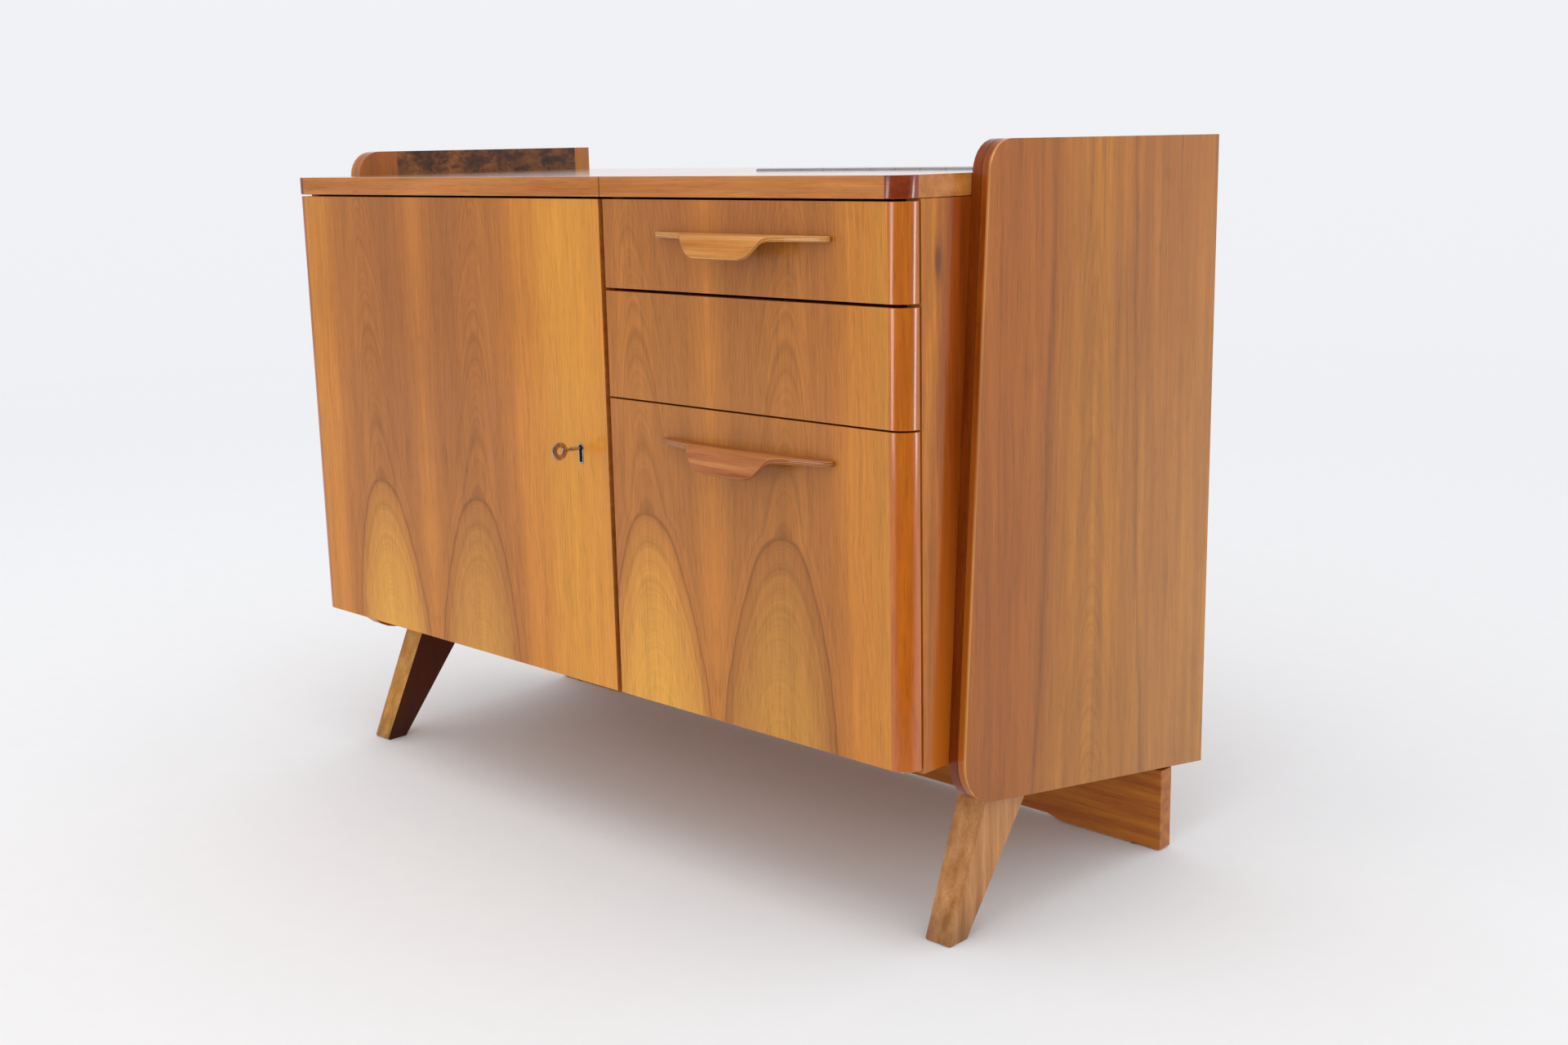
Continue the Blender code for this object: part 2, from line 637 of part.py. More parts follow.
def door():
    """The flat door with its rounded hinge edge, its lock and its key."""
    joint = joint_point("door_axis", DOOR_AXIS)
    corners = [
        (-BODY_OUT, FACE, FRONT_T - SOFT_SMALL),
        (DOOR_RIGHT, FACE, 0),
        (DOOR_RIGHT, INNER, 0),
        (-BODY_OUT, INNER, 0),
    ]
    leaf = plate("door", corners, "XY", FRONT_BOTTOM, FRONT_TOP, VENEER, joint, SOFT_SMALL)
    combine(leaf, plate("keyhole_cut", keyhole(FIT), "XZ", FACE - OVERRUN, INNER + OVERRUN,
                        joint=joint))
    liner = plate("keyhole_liner", keyhole(), "XZ", FACE - LINER_PROUD, FACE + LINER_DEPTH, STEEL,
                  joint)
    combine(liner, plate("liner_bore", keyhole(-LINER_T), "XZ", FACE - LINER_PROUD - OVERRUN,
                         FACE + LINER_DEPTH + OVERRUN, joint=joint))
    length = FRONT_TOP - FRONT_BOTTOM - 2 * HINGE_INSET
    middle = DOOR_AXIS + Vector((0, 0, (FRONT_TOP - FRONT_BOTTOM) / 2))
    knuckle_hinge("door_hinge", middle, -math.pi / 2, length, DOOR_KNUCKLES, KNUCKLE_R, LEAF, joint)
    lock(joint)


def lock(joint):
    """Lock case on the door's inner face, its bolt, the strike plate and the key."""
    near = INNER + FIT
    left, right = KEY_X - LOCK_LEFT, KEY_X + LOCK_RIGHT
    low, high = KEY_Z - LOCK_DOWN, KEY_Z + LOCK_UP
    case = box("lock_case", (left, near, low), (right, near + LOCK_T, high), STEEL, joint)
    combine(case, box("lock_hollow", (left + LOCK_WALL, near - OVERRUN, low + LOCK_WALL),
                      (right - LOCK_WALL, near + LOCK_T - LOCK_WALL, high - LOCK_WALL),
                      joint=joint))
    bolt_y, bolt_z = INNER + BOLT_IN, KEY_Z + BOLT_Z
    combine(case, box("bolt_way", (right - LOCK_WALL - OVERRUN, bolt_y - FIT, bolt_z - FIT),
                      (right + OVERRUN, bolt_y + BOLT_T + FIT, bolt_z + BOLT_H + FIT),
                      joint=joint))
    bolt = box("lock_bolt", (KEY_X - BOLT_TAIL, bolt_y, bolt_z),
               (right - FIT, bolt_y + BOLT_T, bolt_z + BOLT_H), STEEL, joint)
    combine(bolt, box("bolt_notch", (KEY_X - NOTCH_LEFT, bolt_y - OVERRUN, bolt_z - OVERRUN),
                      (KEY_X + NOTCH_RIGHT, bolt_y + BOLT_T + OVERRUN, bolt_z + NOTCH_H),
                      joint=joint))
    face, middle = DIV_LEFT - FIT, bolt_z + BOLT_H / 2
    strike = box("strike_plate", (face - STRIKE_T, CARCASS + FIT, middle - STRIKE_H / 2),
                 (face, CARCASS + STRIKE_W, middle + STRIKE_H / 2), STEEL)
    combine(strike, box("strike_hole", (face - STRIKE_T - OVERRUN, bolt_y - RUN, bolt_z - RUN),
                        (face + OVERRUN, bolt_y + BOLT_T + RUN, bolt_z + BOLT_H + RUN)))
    key(joint)


def key(joint):
    """A ring-headed key standing in the lock with its head upright."""
    head = Vector((KEY_X, FACE - KEY_REACH + BOW_W / 2, KEY_Z))
    ring = bmesh.new()
    lay = Matrix.Rotation(QUARTER, 4, "Y")
    shape = Matrix.Diagonal((1, BOW_W / 2, BOW_H / 2, 1))
    bmesh.ops.create_cone(ring, cap_ends=True, segments=2 * ROUND_SIDES, radius1=1, radius2=1,
                          depth=BOW_T, matrix=shape @ lay)
    mesh = bpy.data.meshes.new("key")
    ring.to_mesh(mesh)
    ring.free()
    bow = add("key", mesh, head, STEEL, joint)
    combine(bow, rod("key_eye", head - Vector((BOW_T, 0, 0)), head + Vector((BOW_T, 0, 0)),
                     BOW_HOLE / 2, joint=joint, sides=2 * ROUND_SIDES))
    neck = head + Vector((0, (BOW_HOLE + BOW_W) / 4, 0))
    tip = Vector((KEY_X, INNER + LOCK_T - LOCK_WALL - FIT, KEY_Z))
    combine(bow, rod("key_shank", neck, tip, KEY_R, joint=joint), "UNION")
    collar = head + Vector((0, BOW_W / 2 + COLLAR_BEHIND, 0))
    combine(bow, rod("key_collar", collar, collar + Vector((0, COLLAR_T, 0)), COLLAR_R,
                     joint=joint), "UNION")
    bit_y = INNER + BOLT_IN + (BOLT_T - BIT_W) / 2
    combine(bow, box("key_bit", (KEY_X - BIT_T / 2, bit_y, KEY_Z - BIT_R),
                     (KEY_X + BIT_T / 2, bit_y + BIT_W, KEY_Z), joint=joint), "UNION")


def column_front(name, span, joint):
    """A drawer front or the flap: a flat board with its right end rounded over."""
    corners = [
        (COLUMN_LEFT, FACE, 0),
        (BODY_OUT, FACE, FRONT_T - SOFT_SMALL),
        (BODY_OUT, INNER, 0),
        (COLUMN_LEFT, INNER, 0),
    ]
    return plate(name, corners, "XY", span[0], span[1], VENEER, joint, SOFT_SMALL)


def handle_line(run):
    """Place and upward direction of the strip's middle, at a run from the front."""
    arc = HANDLE_BEND_R * HANDLE_BEND
    flat = min(run, HANDLE_FLAT)
    turn = min(max(run - HANDLE_FLAT, 0), arc) / HANDLE_BEND_R
    lip = max(run - HANDLE_FLAT - arc, 0)
    out = flat + HANDLE_BEND_R * math.sin(turn) + lip * math.cos(turn)
    fall = HANDLE_BEND_R * (1 - math.cos(turn)) + lip * math.sin(turn)
    return Vector((0, -FIT - out, -HANDLE_T / 2 - fall)), Vector((0, -math.sin(turn), math.cos(turn)))


def handle(name, top, joint):
    """A bent plywood pull: a flat strip against the front whose middle folds down into a lip."""
    total = HANDLE_FLAT + HANDLE_BEND_R * HANDLE_BEND + HANDLE_LIP
    shape = bmesh.new()
    loops = []
    for run_share, half_share in zip(HANDLE_RUN_SHARES, HANDLE_HALF_SHARES):
        centre, up = handle_line(total * run_share)
        across = Vector((HANDLE_HALF * half_share, 0, 0))
        lift = up * HANDLE_T / 2
        corners = (lift - across, lift + across, across - lift, -across - lift)
        loops.append([shape.verts.new(centre + corner) for corner in corners])
    for near, far in zip(loops, loops[1:]):
        for index in range(len(near)):
            following = (index + 1) % len(near)
            shape.faces.new((near[index], near[following], far[following], far[index]))
    shape.faces.new(loops[0])
    shape.faces.new(loops[-1])
    bmesh.ops.recalc_face_normals(shape, faces=shape.faces)
    mesh = bpy.data.meshes.new(name)
    shape.to_mesh(mesh)
    shape.free()
    mesh.shade_smooth()
    mesh.set_sharp_from_angle(angle=math.radians(40))
    middle = (COLUMN_LEFT + BODY_OUT) / 2
    return add(name, mesh, (middle, FACE, top), HANDLE_WOOD, joint)


def drawer(name, span, box_low, box_height):
    """A drawer box on two side runners behind its front."""
    joint = joint_point(f"{name}_axis", (DIVIDER_X, FACE, span[0]))
    column_front(f"{name}_front", span, joint)
    left, right = DIV_RIGHT + DRAWER_CLEAR, BODY_IN - DRAWER_CLEAR
    front, rear = INNER + FIT, INNER + DRAWER_LEN
    low, high = box_low + DRAWER_BOTTOM_T + FIT, box_low + box_height
    box(f"{name}_bottom", (left, front, box_low), (right, rear, box_low + DRAWER_BOTTOM_T),
        PLAIN, joint)
    runner_z = (low + high) / 2 - RUNNER_H / 2
    for side, wall, outer, sign in (("left", DIV_RIGHT + FIT, left, 1),
                                    ("right", BODY_IN - FIT, right, -1)):
        low_x, high_x = sorted((outer, outer + sign * DRAWER_SIDE_T))
        board = box(f"{name}_side_{side}", (low_x, front, low), (high_x, rear, high), PLAIN, joint,
                    SOFT_SMALL)
        reach = wall + sign * RUNNER_T
        low_x, high_x = sorted((outer - sign * OVERRUN, reach + sign * RUNNER_CLEAR))
        combine(board, box(f"{name}_groove_{side}",
                           (low_x, front - OVERRUN, runner_z - RUNNER_CLEAR),
                           (high_x, rear + OVERRUN, runner_z + RUNNER_H + RUNNER_CLEAR),
                           joint=joint))
        low_x, high_x = sorted((wall, reach))
        box(f"{name}_runner_{side}", (low_x, CARCASS + RUNNER_START, runner_z),
            (high_x, CARCASS_REAR - FIT, runner_z + RUNNER_H), PLAIN)
    box(f"{name}_back", (left + DRAWER_SIDE_T + FIT, rear - DRAWER_BACK_T, low),
        (right - DRAWER_SIDE_T - FIT, rear, high), PLAIN, joint, SOFT_SMALL)
    return joint


def flap():
    """The drop flap over the lower compartment, with its catch and its slotted stay."""
    joint = joint_point("flap_axis", FLAP_AXIS)
    column_front("flap", FLAP_FRONT, joint)
    handle("handle_flap", FLAP_FRONT[1] - HANDLE_DOWN_LOW, joint)
    left, right = DIV_RIGHT + FIT, BODY_IN - FIT
    middle = Vector(((left + right) / 2, FLAP_AXIS.y, FLAP_AXIS.z))
    knuckle_hinge("flap_hinge", middle, math.pi, right - left - 2 * HINGE_INSET, FLAP_KNUCKLES,
                  KNUCKLE_R, LEAF, joint)
    centre = (COLUMN_LEFT + BODY_OUT) / 2
    under = DECK_Z - FIT
    near = INNER + CATCH_PLATE_T + 2 * FIT
    box("catch_body", (centre - CATCH_W / 2, near, under - CATCH_H),
        (centre + CATCH_W / 2, near + CATCH_L, under), STEEL, soft=SOFT_SMALL)
    plate_z = under - CATCH_H - (CATCH_PLATE_H - CATCH_H) / 2
    box("catch_plate", (centre - CATCH_W / 2, INNER + FIT, plate_z),
        (centre + CATCH_W / 2, INNER + FIT + CATCH_PLATE_T, plate_z + CATCH_PLATE_H), STEEL, joint)
    stay(joint)


def stay(joint):
    """A slotted arm that turns on the flap's bracket and slides over a stud on the carcass.

    The stud lies on the circle that the bracket's pin runs on, so the arm turns through exactly
    half of the flap's angle and its slot always lines up with the stud.
    """
    pin = FLAP_AXIS + Vector((0, STAY_STAND, STAY_RISE))
    circle = math.hypot(STAY_STAND, STAY_RISE)
    stud = FLAP_AXIS + circle * Vector((0, math.cos(STUD_ANGLE), math.sin(STUD_ANGLE)))
    shut = (stud - pin).length
    pin_angle = math.atan2(STAY_RISE, STAY_STAND)
    spread = (pin_angle + math.pi / 2 - STUD_ANGLE) / 2
    opened = 2 * circle * math.sin(spread)
    wall = BODY_IN - FIT
    far = BODY_IN - STAY_WALL
    near = far - STAY_T
    turn = joint_point("stay_axis", (far, pin.y, pin.z))
    turn.parent = joint
    turn.location = turn.location - joint.location

    half, hole = STAY_W / 2, STUD_R + SLOT_CLEAR
    round_end, round_slot = half * ROUND_SHARE, hole * ROUND_SHARE
    reach = opened + SLOT_SPARE + STAY_END
    arm_mesh = outline_mesh("stay_arm", rounded([
        (-half, -half, round_end), (reach, -half, round_end), (reach, half, round_end),
        (-half, half, round_end)]), STAY_T, "YZ")
    along = math.atan2(stud.z - pin.z, stud.y - pin.y)
    arm = add("stay_arm", arm_mesh, ((near + far) / 2, pin.y, pin.z), STEEL, joint)
    slot_mesh = outline_mesh("stay_slot", rounded([
        (shut - SLOT_SPARE - hole, -hole, round_slot), (opened + SLOT_SPARE, -hole, round_slot),
        (opened + SLOT_SPARE, hole, round_slot), (shut - SLOT_SPARE - hole, hole, round_slot)]),
        2 * STAY_T, "YZ")
    slot = add("stay_slot", slot_mesh, ((near + far) / 2, pin.y, pin.z), None, joint)
    for piece in (arm, slot):
        piece.rotation_euler = (along, 0, 0)
    combine(arm, slot)
    combine(arm, rod("stay_eye", (near - OVERRUN, pin.y, pin.z), (far + OVERRUN, pin.y, pin.z),
                     hole, joint=joint))

    gap = 2 * FIT
    turned("stay_stud", [
        (0, 0), (STUD_HEAD_R, 0), (STUD_HEAD_R, wall - far - gap), (STUD_R, wall - far - gap),
        (STUD_R, wall - near + gap), (STUD_HEAD_R, wall - near + gap),
        (STUD_HEAD_R, wall - near + gap + STUD_HEAD_T), (0, wall - near + gap + STUD_HEAD_T)],
        (wall, stud.y, stud.z), Vector((-1, 0, 0)), STEEL)

    ear = near - 2 * FIT
    foot = INNER + FIT
    bracket = box("stay_bracket", (ear - BRACKET_W, foot, pin.z - BRACKET_H / 2),
                  (ear, foot + BRACKET_T, pin.z + BRACKET_H / 2), STEEL, joint)
    combine(bracket, box("bracket_ear", (ear - BRACKET_T, foot + BRACKET_T / 2, pin.z - half),
                         (ear, pin.y + half, pin.z + half), joint=joint), "UNION")
    combine(bracket, rod("bracket_pin", (ear - BRACKET_T / 2, pin.y, pin.z),
                         (far + FIT, pin.y, pin.z), STUD_R, joint=joint), "UNION")


clear_scene()
PARTS = collection("cabinet")
CUTTERS = collection("cutters")
VENEER = finish("walnut_veneer", (0.42, 0.19, 0.07), 0.25)
VENEER_TOP = finish("walnut_top", (0.38, 0.17, 0.065), 0.18)
CORE = finish("stained_board", (0.36, 0.17, 0.07), 0.40)
PLAIN = finish("plain_beech", (0.55, 0.36, 0.19), 0.55)
LEG_WOOD = finish("stained_beech", (0.31, 0.14, 0.045), 0.35)
HANDLE_WOOD = finish("handle_ply", (0.47, 0.22, 0.08), 0.25)
STEEL = finish("nickel_steel", (0.45, 0.44, 0.42), 0.35, 1.0)
RUBBER = finish("black_rubber", (0.02, 0.02, 0.02), 0.80)

side_panels()
carcass()
left_compartment()
legs()
top_board()
lid()
door()
UPPER_JOINT = drawer("drawer_upper", UPPER_FRONT, UPPER_BOX_Z, UPPER_BOX_H)
handle("handle_drawer", UPPER_FRONT[1] - HANDLE_DOWN, UPPER_JOINT)
drawer("drawer_lower", LOWER_FRONT, LOWER_BOX_Z, LOWER_BOX_H)
flap()
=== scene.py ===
"""Finish, fittings and studio stage of the walnut media cabinet."""

import math

import bmesh
import bpy
from mathutils import Matrix, Vector


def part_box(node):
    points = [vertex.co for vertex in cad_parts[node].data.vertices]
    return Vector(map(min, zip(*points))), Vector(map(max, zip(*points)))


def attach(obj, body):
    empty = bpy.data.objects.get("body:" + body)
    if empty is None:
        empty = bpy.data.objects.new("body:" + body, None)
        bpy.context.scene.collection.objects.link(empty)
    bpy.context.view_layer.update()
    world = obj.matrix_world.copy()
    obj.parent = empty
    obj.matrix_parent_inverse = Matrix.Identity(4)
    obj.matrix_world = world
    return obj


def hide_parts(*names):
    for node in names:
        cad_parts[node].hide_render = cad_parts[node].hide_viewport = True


bl_info = {
    "name": "Walnut media cabinet",
    "version": (1, 0, 0),
    "blender": (4, 5, 0),
    "location": "3D View > Sidebar > Cabinet",
    "description": "Puts veneers, bent handles, fittings and a studio stage on the cabinet",
    "category": "Object",
}

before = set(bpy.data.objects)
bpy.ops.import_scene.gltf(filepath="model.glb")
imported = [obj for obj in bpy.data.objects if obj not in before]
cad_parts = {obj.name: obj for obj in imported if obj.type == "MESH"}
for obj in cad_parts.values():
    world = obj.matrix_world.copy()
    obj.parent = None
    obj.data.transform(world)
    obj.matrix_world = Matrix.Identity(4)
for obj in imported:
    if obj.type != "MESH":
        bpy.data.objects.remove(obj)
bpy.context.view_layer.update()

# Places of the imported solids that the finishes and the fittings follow
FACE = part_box("door")[0].y                # faces of door, drawers and flap
PANEL_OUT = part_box("side_panel_right_outer")[1].x
PANEL_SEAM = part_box("side_panel_right_outer")[0].x
PANEL_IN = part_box("side_panel_right_inner")[0].x
TOP_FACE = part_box("top_board")[1].z
COLUMN = (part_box("flap")[0].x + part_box("flap")[1].x) / 2
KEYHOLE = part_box("keyhole_liner")[1]      # its upper right corner
HALVES = (-0.1, 0.1)                      # x over which the left half turns into the right

# Light in the studio, for colours that have to show as they do in it
LEVEL = 1.12                              # how strongly it lights an upright surface
SHEEN = 0.036                             # what the lacquer's reflection adds to a wood's colour
SIDE_SHEEN = 0.054                        # the same on surfaces that face the bright side
DARK_END = (0.69, -0.72)                  # level direction from the cabinet to the dark end
BRIGHT_SIDE = (0.6, 0.8)                  # level direction to the bright side

# Figure of the fronts. A ring is 0 on the outermost line of an arch and less inside it.
DOOR_MATCH, COLUMN_MATCH = -0.288, 0.281  # x at which the two halves of a veneer meet
DOOR_PEAK, COLUMN_PEAK = 0.440, 0.464     # height at which the arches close
CORNER = 0.5523                           # solid wood from here to the outer edge of a front
AXIS_LEAN, AXIS = 0.044, 0.112            # how an arch's axis leans outward, and its place
RING_DEPTH = 0.00972                      # how far apart the first rings are
ACROSS = ((0.0, (187, 122, 70)), (0.008, (182, 118, 70)), (0.02, (176, 115, 70)),
          (0.04, (167, 109, 69)), (0.07, (168, 110, 70)), (0.10, (170, 111, 69)),
          (0.13, (175, 114, 69)), (0.145, (180, 118, 70)), (0.16, (174, 114, 69)),
          (0.185, (177, 116, 69)), (0.20, (181, 118, 68)), (0.218, (196, 129, 69)),
          (0.25, (197, 131, 69)), (0.28, (203, 140, 71)), (0.32, (209, 146, 71)),
          (0.345, (206, 142, 71)), (0.39, (204, 139, 71)))
ARCH = ((-80, (208, 148, 78)), (-50, (199, 139, 76)), (-25, (190, 129, 73)),
        (-10, (182, 121, 71)), (0, (177, 115, 69)))
# Dark growth lines: ring, width and depth of each
FLAME_LINES = ((0.2, 3.6, 0.34), (-18.0, 3.0, 0.19), (-37.0, 2.8, 0.09), (11.0, 2.4, 0.10),
               (25.0, 3.0, 0.09), (44.0, 4.0, 0.07))
SIDE_LINES = ((0.0, 26.0, 0.17), (2.0, 8.0, 0.15), (-30.0, 6.0, 0.09), (-52.0, 5.0, 0.08),
              (44.0, 8.0, 0.10), (74.0, 9.0, 0.10), (160.0, 16.0, 0.09), (260.0, 20.0, 0.07))
KEY_RUB = (KEYHOLE.x + 0.018, KEYHOLE.z - 0.006)      # where the key has rubbed the door
KEY_RUB_REACH = (0.017, 0.009)

# Figure of the panels, the top and the walls beside the fronts
TOP = ((-80, (176, 116, 66)), (-20, (168, 108, 62)), (-1, (150, 92, 54)), (2, (142, 86, 50)),
       (8, (166, 106, 62)), (40, (172, 112, 66)), (120, (162, 104, 60)), (260, (176, 116, 70)))
BURL = ((0.36, (54, 27, 7)), (0.46, (83, 43, 10)), (0.53, (112, 62, 15)), (0.62, (134, 80, 26)))
SIDE_AXIS = FACE + 0.307                  # y of the axis of the side panels' figure
TOP_AXIS = 0.035                          # y of the axis of the top's figure
BURL_START = FACE + 0.178                 # y from which the panels are burl above the top
CORNER_DEPTH = 0.0235                     # how far the top's solid corners reach back
KNOT = (FACE + 0.0535, 0.776)             # place of the knot in depth and height
KNOT_REACH = (0.0046, 0.0165)
PLIES = 3.5                               # pairs of light and dark layers in a handle
SPREAD = (0.3, 0.7)                       # nearly all values of a noise lie between these

# Half width of a handle over its length from the front to the end of the lip
HANDLE_RUN = (0.0, 0.035, 0.086, 0.138, 0.181, 0.224, 0.276, 0.328, 0.379, 0.431, 0.491,
              0.534, 0.586, 0.638, 0.681, 0.741, 0.810, 0.879, 0.940, 0.983, 1.0)
HANDLE_WIDE = (0.970, 0.993, 1.0, 0.982, 0.934, 0.868, 0.779, 0.699, 0.625, 0.570, 0.522,
               0.496, 0.474, 0.456, 0.441, 0.419, 0.393, 0.368, 0.342, 0.316, 0.294)

# Camera fitted to the photographed edges: its place and its three axes
CAMERA_PLACE = (1.7624, FACE - 1.4093, 0.8984)
CAMERA_RIGHT = (0.72091954, 0.69272386, -0.02021553)
CAMERA_UP = (-0.12907329, 0.16287246, 0.97816801)
CAMERA_BACK = (0.68089287, -0.70257115, 0.20683008)


def tone(red, green, blue):
    """Colour from screen values of 0 to 255."""
    shares = [value / 255 for value in (red, green, blue)]
    return tuple(((v + 0.055) / 1.055) ** 2.4 if v > 0.04045 else v / 12.92
                 for v in shares) + (1.0,)


def lit_tone(values, sheen, least):
    """Colour that shows as screen values in the studio, with a sheen on it."""
    return tuple(max(share - sheen, share * least) / LEVEL
                 for share in tone(*values)[:3]) + (1.0,)


def wood_tone(*values):
    """Colour of lacquered wood on the front."""
    return lit_tone(values, SHEEN, 0.22)


def side_tone(*values):
    """Colour of lacquered wood that faces the studio's bright side."""
    return lit_tone(values, SIDE_SHEEN, 0.1)


def edge_tone(*values):
    """Colour of wood where nothing shines in it."""
    return lit_tone(values, 0.0, 1.0)


def screen(colour):
    """Screen values of 0 to 255 of a colour setting."""
    return tuple(share * 255 for share in colour)


class Value:
    """An output of a node. Arithmetic on it, and its methods, add nodes to its tree."""

    def __init__(self, nodes, socket):
        self.nodes = nodes
        self.socket = socket

    def __add__(self, other):
        return self.nodes.maths("ADD", self, other)

    def __sub__(self, other):
        return self.nodes.maths("SUBTRACT", self, other)

    def __rsub__(self, other):
        return self.nodes.maths("SUBTRACT", other, self)

    def __mul__(self, other):
        return self.nodes.maths("MULTIPLY", self, other)

    def __truediv__(self, other):
        return self.nodes.maths("DIVIDE", self, other)

    def __pow__(self, other):
        return self.nodes.maths("POWER", self, other)

    def __abs__(self):
        return self.nodes.maths("ABSOLUTE", self)

    def largest(self, other):
        """The larger of two values."""
        return self.nodes.maths("MAXIMUM", self, other)

    def between(self, low, high, low_to=0.0, high_to=1.0):
        """The value from one range to another, held at its ends."""
        return self.nodes.made("ShaderNodeMapRange", {
            "Value": self, "From Min": low, "From Max": high, "To Min": low_to,
            "To Max": high_to})

    def above(self, limit, soft=0.0003):
        """1 where the value is above a limit, with a soft step."""
        return self.between(limit - soft, limit + soft)

    def blend(self, first, second):
        """The first colour where the value is 0, the second where it is 1."""
        return self.nodes.mix(self, first, second)

    def toward(self, other, share):
        """The colour mixed toward another by a share."""
        return self.nodes.mix(share, self, other)

    def tint(self, other, share=1.0):
        """The colour times another, by a share."""
        return self.nodes.mix(share, self, other, "MULTIPLY")

    def shade(self, share, *span):
        """The colour times a grey share, or times what a span makes of a value."""
        if span:
            share = share.between(*span)
        return self.tint(self.nodes.made("ShaderNodeCombineColor",
                                         {"Red": share, "Green": share, "Blue": share}))

    def ramp(self, stops, seen=wood_tone):
        """Colour by value, from stops in the value's own units."""
        low, high = stops[0][0], stops[-1][0]
        node = self.nodes.add("ShaderNodeValToRGB")
        self.nodes.feed(node.inputs[0], self.between(low, high))
        elements = node.color_ramp.elements
        for place, colour in stops[1:-1]:
            elements.new((place - low) / (high - low)).color = seen(*colour)
        elements[0].color = seen(*stops[0][1])
        elements[len(elements) - 1].color = seen(*stops[-1][1])
        return Value(self.nodes, node.outputs["Color"])

    def noise(self, grains, detail=2.0, **settings):
        """Soft noise over a place, with so many grains per metre along x, y and z."""
        return self.nodes.made("ShaderNodeTexNoise", {
            "Vector": self.nodes.vector_maths("MULTIPLY", self, grains), "Scale": 1.0,
            "Detail": detail, **settings}, noise_dimensions="3D")

    def line_noise(self, grains, detail):
        """Soft noise along one value."""
        return self.nodes.made("ShaderNodeTexNoise", {
            "W": self * grains, "Scale": 1.0, "Detail": detail}, noise_dimensions="1D")


class Nodes:
    """Adds nodes to one tree and links them."""

    def __init__(self, tree):
        self.tree = tree
        self.count = 0

    def add(self, kind, **settings):
        """A new node, placed in reading order."""
        node = self.tree.nodes.new(kind)
        for key, value in settings.items():
            setattr(node, key, value)
        node.location = (220 * (self.count % 12), -280 * (self.count // 12))
        self.count += 1
        return node

    def feed(self, socket, value):
        """Link a value or an output to a socket, or set the socket's own value."""
        value = getattr(value, "socket", value)
        if isinstance(value, bpy.types.NodeSocket):
            self.tree.links.new(value, socket)
        else:
            socket.default_value = value

    def made(self, kind, inputs, **settings):
        """First output of a new node, with its inputs fed by name."""
        node = self.add(kind, **settings)
        for key, value in inputs.items():
            self.feed(node.inputs[key], value)
        return Value(self, node.outputs[0])

    def listed(self, kind, values, **settings):
        """First output of a new node, with its inputs fed in order."""
        node = self.add(kind, **settings)
        for socket, value in zip(node.inputs, values):
            self.feed(socket, value)
        return Value(self, node.outputs[0])

    def maths(self, operation, *values):
        return self.listed("ShaderNodeMath", values, operation=operation)

    def vector_maths(self, operation, *values):
        return self.listed("ShaderNodeVectorMath", values, operation=operation)

    def vector(self, *parts):
        return self.listed("ShaderNodeCombineXYZ", parts)

    def parts(self, vector):
        """The three parts of a vector."""
        node = self.add("ShaderNodeSeparateXYZ")
        self.feed(node.inputs[0], vector)
        return [Value(self, output) for output in node.outputs]

    def mix(self, share, first, second, blend="MIX"):
        node = self.add("ShaderNodeMix", data_type="RGBA", blend_type=blend)
        self.feed(node.inputs["Factor"], share)
        self.feed(node.inputs[6], first)
        self.feed(node.inputs[7], second)
        return Value(self, node.outputs[2])

    def place(self):
        """Place at rest in metres, whole and as x, y and z."""
        place = self.add("ShaderNodeTexCoord").outputs["Object"]
        return Value(self, place), *self.parts(place)

    def normal(self):
        """Which way the surface faces, as x, y and z from -1 to 1."""
        return self.parts(self.add("ShaderNodeTexCoord").outputs["Normal"])

    def attribute(self, name):
        """A number stored on the mesh's vertices."""
        return Value(self, self.add("ShaderNodeAttribute", attribute_type="GEOMETRY",
                                    attribute_name=name).outputs["Fac"])

    def group(self, name, **values):
        """Outputs by name of a shared group, with its inputs fed by name."""
        node = self.add("ShaderNodeGroup", node_tree=bpy.data.node_groups[name])
        for key, value in values.items():
            self.feed(node.inputs[key], value)
        return {output.name: Value(self, output) for output in node.outputs}

    def grain(self, seed, vector):
        """Wood grain that runs along a vector's third part."""
        return self.group("wood_grain", Vector=vector, Seed=seed)

    def rings(self, offset, rise, position, wander=1.0):
        """Growth ring at an offset from a figure's axis, where it has risen by so many rings."""
        return self.group("growth_rings", Offset=offset, Rise=rise, Position=position,
                          Wander=wander)["Ring"]


def shared_group(name, inputs, outputs):
    """An empty node group: its nodes, its inputs as values and its outputs' sockets."""
    tree = bpy.data.node_groups.new(name, "ShaderNodeTree")
    for socket, kind, default in inputs:
        tree.interface.new_socket(socket, in_out="INPUT",
                                  socket_type=f"NodeSocket{kind}").default_value = default
    for socket in outputs:
        tree.interface.new_socket(socket, in_out="OUTPUT", socket_type="NodeSocketFloat")
    nodes = Nodes(tree)
    given = nodes.add("NodeGroupInput").outputs
    return (nodes, {socket.name: Value(nodes, socket) for socket in given if socket.name},
            nodes.add("NodeGroupOutput").inputs)


